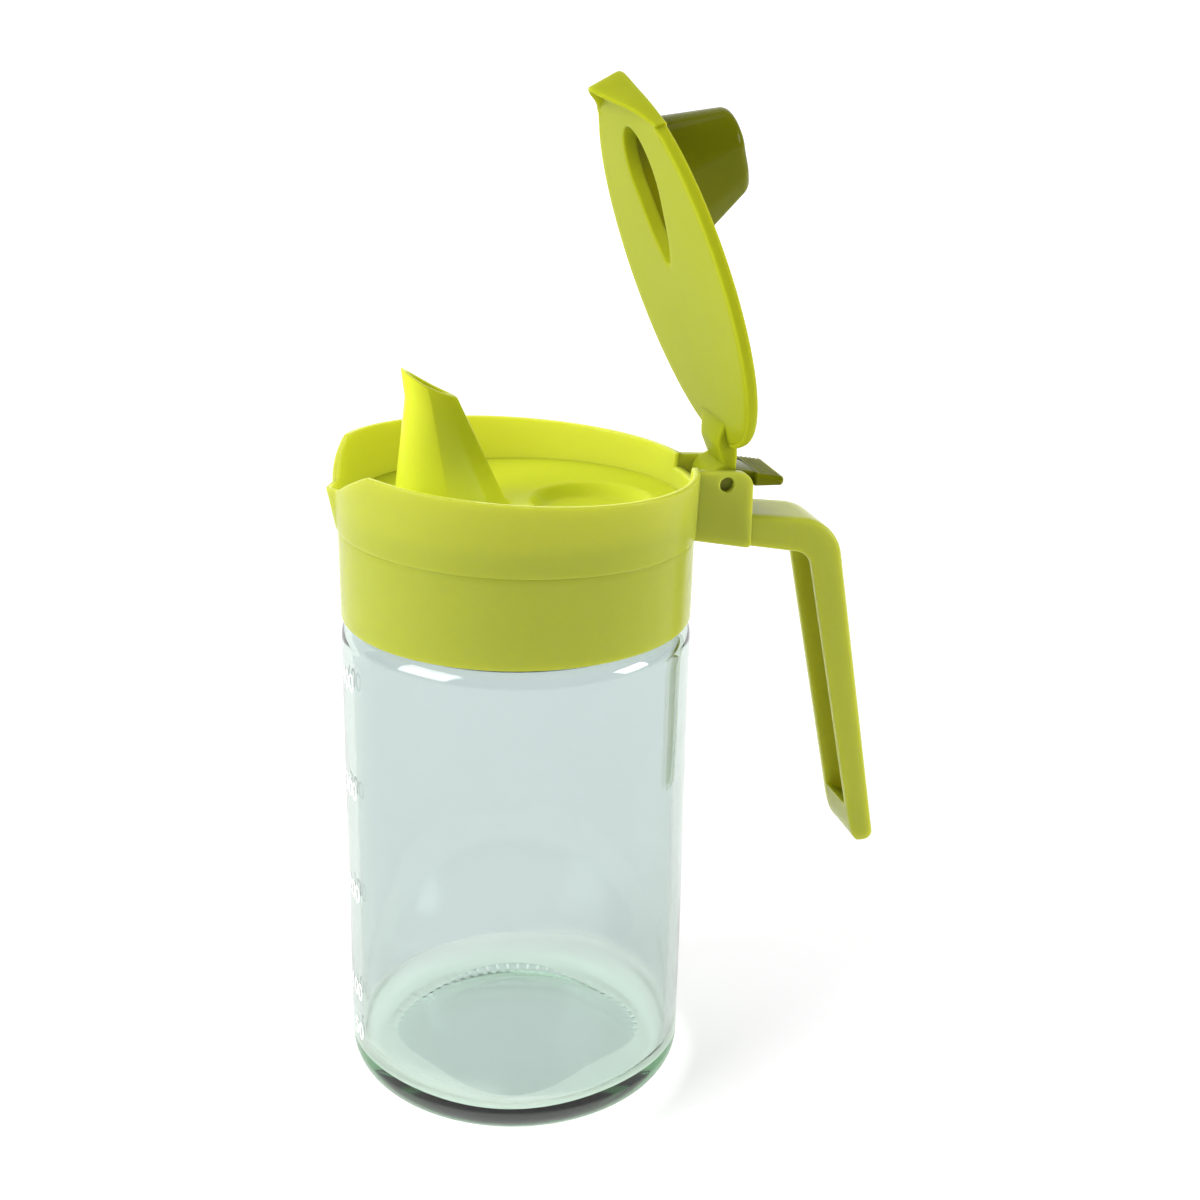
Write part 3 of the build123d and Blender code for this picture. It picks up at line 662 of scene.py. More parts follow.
def glass_jar_grid(glass):
    """Jar as (r cos a, r sin a, z): the profile, its thread, the foot's dashes and a faint unevenness, with the weight
    of the milky band's painted glow.
    """
    profile = jar_profile(glass.wall)
    radius, height = profile[:, :1], profile[:, 1:]
    angle = 2 * pi * np.arange(JAR_COLUMNS)[None, :] / JAR_COLUMNS
    ring_outer = JAR_RADIUS - HEEL_RADIUS
    outside = np.arange(len(profile))[:, None] < np.argmax(profile[:, 1])
    on_neck = outside & (radius >= NECK_RADIUS - 1e-6) & (height > SHOULDER_START + SHOULDER_RADIUS)
    thread = thread_relief(angle, height, THREAD_TOP, THREAD_TURNS, THREAD_DEPTH)
    on_side = (radius > NECK_RADIUS) & (height < SHOULDER_START)
    wander = np.sin(3 * angle + 61.0 * height) + 0.7 * np.sin(5 * angle - 113.0 * height + 1.3)
    fade = smooth_step(height, 4 * MM, 20 * MM) * (1 - smooth_step(height, 90 * MM, 104 * MM))
    radius = radius + on_neck * thread + on_side * glass.waviness * fade * wander
    in_ring = outside & (height < 1.2 * MM) & (profile[:, :1] > ring_outer - 1.25 * RING_WIDTH)
    across = 1.0 - np.abs(profile[:, :1] - ring_outer + 0.3 * RING_WIDTH) / RING_WIDTH
    dashes = np.clip(np.cos(glass.dash_count * angle) + 0.4, 0.0, 1.0) * np.clip(across, 0.0, 1.0)
    flat = FLOOR_FLAT + FLOOR_SQUARENESS * np.cos(4 * (angle - FLOOR_TURN)) + 0.6 * MM * np.cos(3 * angle + 0.4)
    corner_x = JAR_RADIUS - glass.wall - FLOOR_CORNER
    rise = FLOOR_SLOPE * np.clip(np.minimum(radius, corner_x) - flat, 0.0, None) - FLOOR_FALL * (np.minimum(radius, corner_x) / corner_x) ** 2
    inner_floor = ~outside & (height < SHOULDER_START) & (radius > 0)
    rise = rise * (1 - smooth_step(height, FLOOR_HEIGHT, FLOOR_HEIGHT + FLOOR_CORNER + 4 * MM)) * inner_floor
    height = height + in_ring * glass.dash_depth * dashes + rise
    # Weight of the painted glow: a milky band round the inner floor's corner, and the heel at a lower weight
    low = FLOOR_HEIGHT + 0.75 * FLOOR_CORNER + 0.8 * MM * np.cos(2 * angle - 0.8)
    painted_glow_weight = inner_floor * smooth_step(radius, flat, flat + 0.6 * MM) * (1 - smooth_step(height, low, low + 0.6 * MM))
    heel = outside & (height < HEEL_RADIUS) & (radius > ring_outer)
    painted_glow_weight = np.maximum(painted_glow_weight, HEEL_PAINTED_GLOW * heel)
    return np.stack([radius * np.cos(angle), radius * np.sin(angle), height + 0 * angle], axis=-1), painted_glow_weight + 0 * angle


class OILBOTTLE_OT_glass_jar(Operator):
    """Make the glass jar"""

    bl_idname = "oil_bottle.glass_jar"
    bl_label = "Glass jar"

    def execute(self, context):
        glass = context.scene.oil_bottle_glass
        grid, painted_glow_weight = glass_jar_grid(glass)
        poles = [(0, 0, PUNT_HEIGHT), (0, 0, FLOOR_HEIGHT)]
        piece = make_piece("jar_glass", grid, poles, crease=60.0)
        values = piece.data.attributes.new("pale_band", "FLOAT", "POINT")
        values.data.foreach_set("value", np.concatenate([painted_glow_weight.ravel(), [0.0, 0.0]]).astype(np.float32))
        dress(piece, "jar", "glass", clear_glass(glass.tint), "glass_jar")
        return {"FINISHED"}


# ---------------------------------------------------------------- printed scale

SCALE_NUMBERS = (("400", 95.6), ("300", 70.6), ("200", 45.9), ("100", 21.3), ("50", 11.2))


def wrapped_on_jar(mesh, right_angle, right_edge, base_height, lift):
    """Bends flat print round the jar: (x, y, z) to angle a + (x - right) / R, height y, radius R + z."""
    points = np.empty(3 * len(mesh.vertices), np.float32)
    mesh.vertices.foreach_get("co", points)
    points = points.reshape(-1, 3).astype(float)
    angle = right_angle + (points[:, 0] - right_edge) / JAR_RADIUS
    radius = JAR_RADIUS + lift + points[:, 2]
    bent = np.stack([radius * np.cos(angle), radius * np.sin(angle), base_height + points[:, 1]], axis=1)
    mesh.vertices.foreach_set("co", bent.astype(np.float32).ravel())
    mesh.update()


class OILBOTTLE_OT_printed_scale(Operator):
    """Print the filling scale on the jar"""

    bl_idname = "oil_bottle.printed_scale"
    bl_label = "Printed scale"

    def execute(self, context):
        glass = context.scene.oil_bottle_glass
        ink = screen_ink(glass.print_colour)
        lift = glass.waviness * 2
        for digits, height in SCALE_NUMBERS:
            curve = bpy.data.curves.new("number_" + digits, "FONT")
            curve.body = digits
            curve.size = glass.print_height / 0.7
            curve.extrude = 0.02 * MM
            text = bpy.data.objects.new("number_" + digits, curve)
            context.scene.collection.objects.link(text)
            context.view_layer.update()
            mesh = bpy.data.meshes.new_from_object(text)
            bpy.data.objects.remove(text)
            if not mesh.vertices:
                raise RuntimeError("no digits were made for " + digits)
            right = max(vertex.co.x for vertex in mesh.vertices)
            wrapped_on_jar(mesh, glass.print_angle, right, height * MM, lift)
            number = bpy.data.objects.new("scale_number_" + digits, mesh)
            context.scene.collection.objects.link(number)
            dress(number, "jar", "glass", ink)
        return {"FINISHED"}


# ---------------------------------------------------------------- pouring head


def beak_radius(angle, height, inset):
    """Distance from the axis to the beak's two flat sides, reach / (cos a + k |sin a|), a from its middle."""
    reach = BEAK_LOW_REACH + BEAK_LEAN * (height - BEAK_LOW_HEIGHT) - inset
    share = (height - BEAK_LOW_HEIGHT) / (BEAK_TOP_HEIGHT - BEAK_LOW_HEIGHT)
    half = BEAK_LOW_HALF + (BEAK_TOP_HALF - BEAK_LOW_HALF) * share
    ahead = -np.cos(angle)
    aside = np.sqrt(np.sin(angle) ** 2 + BEAK_EDGE**2) - BEAK_EDGE
    facing = np.maximum(ahead + (reach - BEAK_CHORD) / half * aside, 0.1)
    distance = reach / facing
    in_point = (ahead > 0) & (distance * np.abs(np.sin(angle)) < half)
    return np.where(in_point, distance, 0.8 * BEAK_CHORD)


def wall_outside(angle, height):
    """Outer radius of the flared wall: the cone or the beak, whichever stands further out."""
    low = SKIRT_RADIUS_TOP + STEP_LEDGE
    cone = low + (RIM_RADIUS - low) * (height - STEP_HEIGHT) / (RIM_HEIGHT - STEP_HEIGHT)
    return soft_max(cone, beak_radius(angle, height, 0.0), 0.25 * MM)


def wall_inside(angle, height):
    """Inner radius of the flared wall above the deck."""
    share = (height - DECK_HEIGHT) / (RIM_HEIGHT - DECK_HEIGHT)
    cone = DECK_RADIUS + (RIM_RADIUS - RIM_WALL - DECK_RADIUS) * share
    return soft_max(cone, beak_radius(angle, height, RIM_WALL), 0.25 * MM)


def rim_top(x, y):
    """Height of the rim: the slanted plane, the beak's notch or the saddle, whichever is lowest."""
    plane = RIM_HEIGHT + RIM_SLOPE * x
    aside = np.abs(y)
    hollow = NOTCH_FLOOR + (NOTCH_KNEE - NOTCH_FLOOR) * (aside / NOTCH_FLOOR_HALF) ** 2
    slope = NOTCH_KNEE + NOTCH_SLOPE * (aside - NOTCH_FLOOR_HALF)
    notch = np.where(aside < NOTCH_FLOOR_HALF, hollow, slope)
    top = np.where(x < 0, soft_min(plane, notch, 0.15 * MM), plane)
    return np.where((x > 0) & (aside < SADDLE_HALF), SADDLE_FLOOR, top)


def head_angles():
    """Even steps round the head, with close pairs at both sides of the saddle."""
    even = -pi + 2 * pi * (np.arange(HEAD_COLUMNS) + 0.5) / HEAD_COLUMNS
    side = asin(SADDLE_HALF / (RIM_RADIUS - RIM_WALL / 2))
    pair = side + np.array([-0.0006, 0.0006])
    pairs = np.concatenate([-pair, pair])
    clear = np.abs(even[:, None] - pairs[None, :]).min(axis=1) > 0.004
    return np.sort(np.concatenate([even[clear], pairs]))


def head_wall_grid():
    """Closed section carried round the axis: skirt, step, flared wall, rim, inner wall, ledge and bore."""
    angle = head_angles()[None, :]
    across = RIM_RADIUS - RIM_WALL / 2
    rim = rim_top(across * np.cos(angle), across * np.sin(angle))
    step = STEP_HEIGHT + STEP_SLOPE * SKIRT_RADIUS_TOP * np.cos(angle)
    ones = np.ones_like(angle)
    rows = []

    def row(radius, height):
        rows.append((radius * ones, height * ones))

    for share in np.linspace(0.0, 1.0, 5):
        turn = 0.5 * pi * (1 - share)
        row(SKIRT_BORE + 0.3 * MM * (1 - sin(turn)), SKIRT_BOTTOM + 0.3 * MM * (1 - cos(turn)))
    for share in np.linspace(0.0, 1.0, 5):
        turn = 0.5 * pi * share
        row(SKIRT_RADIUS_LOW - 0.4 * MM * (1 - sin(turn)), SKIRT_BOTTOM + 0.4 * MM * (1 - cos(turn)))
    low = SKIRT_BOTTOM + 0.4 * MM
    for share in np.linspace(0.0, 1.0, 14)[1:]:
        row(SKIRT_RADIUS_LOW + (SKIRT_RADIUS_TOP - SKIRT_RADIUS_LOW) * share, low + (step - 0.35 * MM - low) * share)
    row(SKIRT_RADIUS_TOP - 0.10 * MM, step - 0.16 * MM)
    row(SKIRT_RADIUS_TOP + 0.18 * MM, step - 0.10 * MM)
    row(SKIRT_RADIUS_TOP + STEP_LEDGE - 0.04 * MM, step + 0.02 * MM)
    wall_low = step + 0.25 * MM
    wall_high = rim - RIM_ROUND
    for share in np.linspace(0.0, 1.0, 18):
        height = wall_low + (wall_high - wall_low) * share
        row(wall_outside(angle, height), height)
    for share in np.linspace(0.0, 1.0, 5)[1:]:
        turn = 0.5 * pi * share
        row(wall_outside(angle, rim) - RIM_ROUND * (1 - cos(turn)), wall_high + RIM_ROUND * sin(turn))
    for share in np.linspace(0.0, 1.0, 5):
        turn = 0.5 * pi * (1 - share)
        row(wall_inside(angle, rim) + RIM_ROUND * (1 - cos(turn)), wall_high + RIM_ROUND * sin(turn))
    for share in np.linspace(0.0, 1.0, 16)[1:]:
        height = wall_high + (DECK_HEIGHT - wall_high) * share
        row(wall_inside(angle, height), height)
    row(DECK_RADIUS, SEAT_TOP)
    row(SEAT_LEDGE_BORE, SEAT_TOP)
    row(SEAT_LEDGE_BORE, SEAT_LEDGE_LOW)
    row(SKIRT_BORE, SEAT_LEDGE_LOW)
    for height in np.linspace(SEAT_LEDGE_LOW, SKIRT_BOTTOM + 0.3 * MM, 54)[1:-1]:
        row(SKIRT_BORE - thread_relief(angle, height, HEAD_THREAD_TOP, 1.0, HEAD_THREAD_DEPTH), height)
    radius = np.concatenate([pair[0] for pair in rows])
    height = np.concatenate([pair[1] for pair in rows])
    return np.stack([radius * np.cos(angle), radius * np.sin(angle), height], axis=-1)


class OILBOTTLE_OT_head_wall(Operator):
    """Make the screwed skirt and the flared wall with its beak"""

    bl_idname = "oil_bottle.head_wall"
    bl_label = "Head wall"

    def execute(self, context):
        look = context.scene.oil_bottle_plastic
        grid = head_wall_grid()
        piece = make_piece("head_wall", grid, crease=38.0)
        radius, angle = np.hypot(grid[..., 0], grid[..., 1]), np.arctan2(grid[..., 1], grid[..., 0])
        # Inner side above the deck: it gets a painted glow for the light that comes through the lit plastic
        inner = (grid[..., 2] > SEAT_TOP) & (radius < wall_outside(angle, grid[..., 2]) - 0.6 * RIM_WALL)
        values = piece.data.attributes.new("inner_side", "FLOAT", "POINT")
        values.data.foreach_set("value", inner.ravel().astype(np.float32))
        finish = plastic("head_lime_plastic", look.head_colour, look.gloss)
        add_painted_glow(finish, "inner_side", look.insert_colour, INNER_PAINTED_GLOW)
        dress(piece, "pouring_head", "lime_plastic", finish, "collar")
        return {"FINISHED"}


# ---------------------------------------------------------------- ears


def ear_outline():
    """Side view of one ear as an even loop of X and Z, from the foot at the wall round the free end."""
    foot_in = (36.0 * MM, 125.0 * MM)
    foot_out = (EAR_END, 122.45 * MM)
    top_out = (EAR_END, 139.36 * MM)
    top_in = (37.0 * MM, 140.16 * MM)
    free = corner_bend(foot_out, top_out, top_in, EAR_CORNER, 14)
    low = corner_bend(foot_in, foot_out, top_out, 0.8 * MM, 5)
    return even_points(np.concatenate([[foot_in], low, free, [top_in], [foot_in]]), 121)[:-1]


def ear_grid(side):
    """Ring-shaped plate: the outline shrinks over a rounded edge to the pin hole, and back on the far face."""
    outline = ear_outline()
    hole = np.array([PIN_X, PIN_HEIGHT])
    spoke = outline - hole
    distance = np.linalg.norm(spoke, axis=1, keepdims=True)
    way = spoke / distance
    edge = 0.55 * MM
    rows = []

    def row(radius, y):
        rows.append(np.concatenate([hole + way * radius, np.full((len(outline), 1), y)], axis=1))

    bevel = 0.2 * MM
    row(PIN_HOLE, EAR_OUTER - bevel)
    row(PIN_HOLE + bevel, EAR_OUTER)
    for share in (0.3, 0.7):
        row(PIN_HOLE + bevel + (distance - edge - PIN_HOLE - bevel) * share, EAR_OUTER)
    for turn in np.radians([0, 22.5, 45, 67.5, 90]):
        row(distance - edge * (1 - sin(turn)), EAR_OUTER - edge * (1 - cos(turn)))
    for turn in np.radians([90, 45, 0]):
        row(distance - 0.3 * MM * (1 - sin(turn)), EAR_INNER + 0.3 * MM * (1 - cos(turn)))
    for share in (0.7, 0.3):
        row(PIN_HOLE + bevel + (distance - edge - PIN_HOLE - bevel) * share, EAR_INNER)
    row(PIN_HOLE, EAR_INNER)
    flat = np.stack(rows)
    return np.stack([flat[..., 0], side * flat[..., 2], flat[..., 1]], axis=-1)


class OILBOTTLE_OT_hinge_ears(Operator):
    """Make the two ears that carry the hinge pin"""

    bl_idname = "oil_bottle.hinge_ears"
    bl_label = "Hinge ears"

    def execute(self, context):
        look = context.scene.oil_bottle_plastic
        finish = plastic("ear_lime_plastic", look.head_colour, look.gloss)
        for name, side in (("ear_near", -1), ("ear_far", 1)):
            piece = make_piece(name, ear_grid(side), crease=35.0)
            dress(piece, "pouring_head", "lime_plastic", finish, "collar")
        return {"FINISHED"}


# ---------------------------------------------------------------- handle


def arm_height(x, low):
    """Height of the arm's upper or lower side at a distance from the axis."""
    if low:
        return ARM_TOP - ARM_HEIGHT - ARM_BOTTOM_FALL * (x - WALL_AT_ARM)
    return ARM_TOP - ARM_TOP_FALL * (x - WALL_AT_ARM)


def handle_sides():
    """Matching points of the handle's outer and inner sides, from the wall over the knee to the tip."""
    knee = (KNEE_X, arm_height(KNEE_X, False))
    tip_x = KNEE_X + GRIP_LEAN * (knee[1] - GRIP_END)
    inner_z = arm_height(KNEE_X - GRIP_DEPTH_TOP, True)
    inner_knee = (KNEE_X + GRIP_LEAN * (knee[1] - inner_z) - KNEE_DEPTH, inner_z)
    outer_start = (ARM_START, arm_height(ARM_START, False))
    inner_start = (ARM_START, arm_height(ARM_START, True))
    outer_tip = (tip_x, GRIP_END)
    inner_tip = (tip_x - GRIP_DEPTH_TIP, GRIP_END + GRIP_TIP_BEVEL)
    outer_bend = corner_bend(outer_start, knee, outer_tip, KNEE_OUTER, 22)
    inner_bend = corner_bend(inner_start, inner_knee, inner_tip, KNEE_INNER, 22)
    tip_high = (tip_x - GRIP_LEAN * 4.4 * MM, GRIP_END + 4.4 * MM)
    heel = (tip_x - GRIP_DEPTH_TIP, GRIP_END + 0.2 * MM)
    lift = GRIP_END + 9.0 * MM
    inner_end = eased((tip_x - GRIP_DEPTH_TIP - GRIP_LEAN * 8.6 * MM, lift), heel, (tip_x - GRIP_TIP_FLAT, GRIP_END), 9)
    outer = np.concatenate(
        [
            run(outer_start, outer_bend[0], 20),
            outer_bend[:-1],
            run(outer_bend[-1], tip_high, 40),
            corner_bend(tip_high, outer_tip, (tip_x - GRIP_TIP_FLAT, GRIP_END), 1.9 * MM, 9),
        ]
    )
    inner = np.concatenate(
        [
            run(inner_start, inner_bend[0], 20),
            inner_bend[:-1],
            run(inner_bend[-1], inner_end[0], 40),
            inner_end,
        ]
    )
    return outer, inner


def handle_grid():
    """Channel section swept down the handle: outer + unit(inner - outer) depth, and y across it."""
    outer, inner = handle_sides()
    depth = np.linalg.norm(inner - outer, axis=1)
    way = (inner - outer) / depth[:, None]
    count = len(outer)
    number = np.arange(count)
    to_tip = GRIP_END + 3.0 * MM
    capped = smooth_step(outer[:, 1], to_tip + 2.4 * MM, to_tip + 1.2 * MM) * (number > count // 3)
    web = HANDLE_WEB + (depth - 0.06 * MM - HANDLE_WEB) * capped
    last = np.clip((number - (count - 9)) / 8.0, 0.0, 1.0)
    half = HANDLE_HALF - 1.6 * MM * (1 - np.sqrt(np.clip(1 - last**2, 0.0, 1.0)))
    edge = np.full(count, 1.2 * MM)
    lip = 0.35 * MM
    loop = []

    def stop(y, d):
        loop.append((y + 0 * depth, d + 0 * depth))

    for share in (0.0, 0.35, 0.7):
        stop((half - edge) * share, 0.0)
    for turn in np.radians([0, 22.5, 45, 67.5, 90]):
        stop(half - edge * (1 - sin(turn)), edge * (1 - cos(turn)))
    for share in (0.35, 0.7):
        stop(half, edge + (depth - lip - edge) * share)
    stop(half, depth - lip)
    stop(half - 0.3 * lip, depth - 0.3 * lip)
    stop(half - lip, depth)
    stop(half - HANDLE_WALL + lip, depth)
    stop(half - HANDLE_WALL + 0.3 * lip, depth - 0.3 * lip * (1 - capped))
    stop(half - HANDLE_WALL, depth - lip * (1 - capped))
    room = depth - web
    for share in (0.4, 0.8):
        stop(half - HANDLE_WALL, depth - lip * (1 - capped) - (room - lip) * share * (1 - capped))
    stop(half - HANDLE_WALL - 0.15 * MM, web + 0.15 * MM * (1 - capped))
    stop(half - HANDLE_WALL - 0.6 * MM, web)
    stop((half - HANDLE_WALL) * 0.45, web)
    y = np.stack([pair[0] for pair in loop], axis=1)
    d = np.stack([pair[1] for pair in loop], axis=1)
    y = np.concatenate([y, np.zeros((count, 1)), -y[:, :0:-1]], axis=1)
    d = np.concatenate([d, web[:, None], d[:, :0:-1]], axis=1)
    x = outer[:, :1] + way[:, :1] * d
    z = outer[:, 1:] + way[:, 1:] * d
    return np.stack([x, y, z], axis=-1)


class OILBOTTLE_OT_handle(Operator):
    """Make the channel handle"""

    bl_idname = "oil_bottle.handle"
    bl_label = "Handle"

    def execute(self, context):
        look = context.scene.oil_bottle_plastic
        grid = handle_grid()
        piece = make_piece("handle", grid, end_middles(grid), crease=38.0)
        dress(piece, "pouring_head", "lime_plastic", plastic("handle_lime_plastic", look.head_colour, look.gloss), "collar")
        return {"FINISHED"}


# ---------------------------------------------------------------- insert


def teardrop(front, back, half, turn, edge):
    """Distance from the widest line's middle to the teardrop, by direction: an arc towards the front, and behind it the nearest of two creased sides and the tail."""
    length = back - front
    bulge = DROP_WIDEST * length
    radius = (bulge**2 + half**2) / (2 * bulge)
    ahead, aside = np.cos(turn), np.abs(np.sin(turn))
    offset = radius - bulge
    arc = offset * ahead + np.sqrt(np.maximum(radius**2 - (offset * aside) ** 2, 0.0))
    crease_x = (DROP_CREASE - DROP_WIDEST) * length
    crease_y = DROP_CREASE_WIDTH * half
    tail_x = (1.0 - DROP_WIDEST) * length
    tail_y = DROP_TAIL_WIDTH * half
    safe = np.maximum(ahead, 1e-4)
    first = half / (aside + (half - crease_y) * safe / crease_x)
    fall = (crease_y - tail_y) / (tail_x - crease_x)
    second = (crease_y + fall * crease_x) / (aside + fall * safe)
    tail = soft_min(soft_min(first, second, edge), tail_x / safe, edge)
    return np.where(ahead > 0, tail, arc)


def between(first, second, share):
    """Values a share of the way from the first to the second."""
    return [a + (b - a) * share for a, b in zip(first, second)]


def spout_sizes(height):
    """Front, back and half width of the spout at a height, with its lip curving forward at the top."""
    low = np.clip((height - DECK_HEIGHT) / (SPOUT_NECK_HEIGHT - DECK_HEIGHT), -0.2, 1.0)
    high = np.clip((height - SPOUT_NECK_HEIGHT) / (LIP_TOP_HEIGHT - SPOUT_NECK_HEIGHT), 0.0, 1.0)
    front, back, half = between(SPOUT_FOOT, SPOUT_NECK, low)
    to_lip = between((0, 0, 0), [lip - neck for lip, neck in zip(SPOUT_LIP, SPOUT_NECK)], high)
    return front + to_lip[0], back + to_lip[1], half + to_lip[2]


def spout_point(height, turn, inset):
    """X and Y on the spout, or on its bore, at a height and in a direction."""
    front, back, half = spout_sizes(height)
    front, back, half = front + inset, back - TAIL_INSET * inset, half - inset
    centre = front + DROP_WIDEST * (back - front)
    distance = teardrop(front, back, half, turn, 0.35 * MM)
    return centre + distance * np.cos(turn), distance * np.sin(turn)


def mouth_height(turn, inset):
    """Height of the slanted mouth where the spout's side meets it, found by going round six times."""
    height = np.full_like(turn, 158.0 * MM)
    reach = SPOUT_NECK[1] - SPOUT_LIP[0]
    for _ in range(6):
        x, _ = spout_point(height, turn, inset)
        share = np.clip((x - SPOUT_LIP[0]) / reach, 0.0, 1.0)
        sag = 4 * 0.7 * MM * share * (1 - share)
        height = LIP_HEIGHT + (SPOUT_NECK_HEIGHT - LIP_HEIGHT) * share - sag
    return height


def deck_height(x, y):
    """Deck, sunk by the bowl: H - D (1 - s), s going from 0 to 1 over the bowl's slope."""
    away = np.hypot(x - BOWL_X, y)
    return DECK_HEIGHT - BOWL_DEPTH * (1 - smooth_step(away, BOWL_RADIUS - BOWL_SLOPE_RUN - 0.4 * MM, BOWL_RADIUS + 0.3 * MM))


def insert_grid():
    """Ring of rings: down the spout, over the deck and bowl, round its edge, back below and up the bore."""
    turn = 2 * pi * (np.arange(420) + 0.5)[None, :] / 420
    ahead, aside = np.cos(turn), np.sin(turn)
    fillet = 1.2 * MM
    rows = []

    def row(x, y, z):
        rows.append(np.stack([x + 0 * turn, y + 0 * turn, z + 0 * turn], axis=-1))

    top = mouth_height(turn, 0.0) - 0.35 * MM
    foot = DECK_HEIGHT + fillet
    for share in np.linspace(0.0, 1.0, 40):
        height = top + (foot - top) * share
        row(*spout_point(height, turn, 0.0), height)
    front, back, half = SPOUT_FOOT
    centre = front + DROP_WIDEST * (back - front)
    at_foot = teardrop(front, back, half, turn, 0.35 * MM)
    for angle in np.radians([20, 40, 60, 80]):
        distance = at_foot + fillet * (1 - cos(angle))
        row(centre + distance * ahead, distance * aside, DECK_HEIGHT + fillet * (1 - sin(angle)))
    edge = -centre * ahead + np.sqrt(DECK_RADIUS**2 - (centre * aside) ** 2)
    for share in np.linspace(0.0, 1.0, 56)[1:]:
        distance = (at_foot + fillet) + (edge - 0.3 * MM - at_foot - fillet) * share
        x, y = centre + distance * ahead, distance * aside
        row(x, y, deck_height(x, y))
    for angle in np.radians([30, 60, 90]):
        distance = edge - 0.3 * MM * (1 - sin(angle)) + 0.14 * MM * (1 - cos(angle))
        row(centre + distance * ahead, distance * aside, DECK_HEIGHT + 0.3 * MM * (1 - cos(angle)))
    row(centre + edge * ahead, edge * aside, DECK_HEIGHT - 0.5 * DECK_THICKNESS)
    bore_x, bore_y = spout_point(SEAT_TOP + 0 * turn, turn, SPOUT_WALL)
    edge_x, edge_y = centre + edge * ahead, edge * aside
    for share in np.linspace(0.0, 1.0, 44):
        x, y = edge_x + (bore_x - edge_x) * share, edge_y + (bore_y - edge_y) * share
        row(x, y, deck_height(x, y) - DECK_THICKNESS)
    inner_top = mouth_height(turn, SPOUT_WALL) - 0.35 * MM
    for share in np.linspace(0.0, 1.0, 26)[1:]:
        height = SEAT_TOP + (inner_top - SEAT_TOP) * share
        row(*spout_point(height, turn, SPOUT_WALL), height)
    for inset in (0.75, 0.25):
        height = mouth_height(turn, inset * SPOUT_WALL)
        row(*spout_point(height, turn, inset * SPOUT_WALL), height)
    return np.concatenate(rows)


class OILBOTTLE_OT_pouring_insert(Operator):
    """Make the deck with its spout, drip bowl and seal skirt"""

    bl_idname = "oil_bottle.pouring_insert"
    bl_label = "Pouring insert"

    def execute(self, context):
        look = context.scene.oil_bottle_plastic
        finish = plastic("insert_lime_plastic", look.insert_colour, look.gloss, 0.4, 0.03)
        piece = make_piece("insert_deck_and_spout", insert_grid(), crease=40.0)
        drain = spun_bar("drain_tool", BOWL_X, DRAIN_RADIUS, SEAT_TOP - 6 * MM, DECK_HEIGHT + MM)
        cut_with(piece, drain)
        dress(piece, "pouring_head", "lime_plastic_insert", finish, "pourer_insert")
        inner, outer, low = SEAL_SKIRT
        loop = np.array([(inner, low), (outer - 0.2 * MM, low), (outer, low + 0.2 * MM), (outer, SEAT_TOP), (inner, SEAT_TOP)])
        skirt = spun_piece("insert_seal_skirt", loop, 240)
        dress(skirt, "pouring_head", "lime_plastic_insert", finish, "pourer_insert")
        return {"FINISHED"}


def spun_bar(name, x, radius, low, high):
    """A round bar on an upright axis."""
    angle = 2 * pi * np.arange(48) / 48
    ring = np.stack([x + radius * np.cos(angle), radius * np.sin(angle), 0 * angle], axis=-1)
    grid = np.stack([ring + (0, 0, low), ring + (0, 0, high)])
    return make_piece(name, grid, [(x, 0, low), (x, 0, high)])


# ---------------------------------------------------------------- lid


def from_lid_plane(x, y, height):
    """Lid's own coordinates to the closed lid's place: the plane z = base + slope x, and up its normal."""
    norm = sqrt(1 + RIM_SLOPE**2)
    return np.stack([(x - RIM_SLOPE * height) / norm, y, LID_BASE + (RIM_SLOPE * x + height) / norm], axis=-1)


def swung_open(points):
    """Turns closed-lid points about the pin: x' = x cos a + z sin a, z' = z cos a - x sin a."""
    x, z = points[..., 0] - PIN_X, points[..., 2] - PIN_HEIGHT
    turned_x = x * cos(OPEN_ANGLE) + z * sin(OPEN_ANGLE)
    turned_z = z * cos(OPEN_ANGLE) - x * sin(OPEN_ANGLE)
    return np.stack([PIN_X + turned_x, points[..., 1], PIN_HEIGHT + turned_z], axis=-1)


def cover_sizes(share, inset):
    """Front, back and half width of the cover, from its foot at share 0 to its top at share 1."""
    front, back, half = between(COVER_FOOT, COVER_HEAD, share)
    return front + inset, back - inset, half - inset


def lid_edge(centre, turn):
    """Distance from a point on the middle line to the plate's outline: the circle or the beak's point."""
    ahead = np.cos(turn)
    aside = np.sqrt(np.sin(turn) ** 2 + 0.08**2) - 0.08
    offset = LID_CENTRE - centre
    circle = offset * ahead + np.sqrt(LID_RADIUS**2 - (offset * np.sin(turn)) ** 2)
    lean = (LID_TIP_SIDE[0] - LID_TIP) / LID_TIP_SIDE[1]
    point = (centre - LID_TIP) / np.maximum(lean * aside - ahead, 0.1)
    in_point = (ahead < 0) & (point * np.abs(np.sin(turn)) < LID_TIP_SIDE[1])
    return soft_max(circle, np.where(in_point, point, 0.8 * circle), 0.8 * MM)


def flap_drop(y, x):
    """How far the flap hangs below the plate: a shallow V with a rounded tip, ahead of the axis only."""
    fall = FLAP_DROP - FLAP_FALL * (np.sqrt(y**2 + (2.4 * MM) ** 2) - 1.2 * MM)
    return np.where(x < 0, np.clip(soft_max(fall, 0 * fall, 0.8 * MM) - 0.14 * MM, 0.0, None), 0.0)


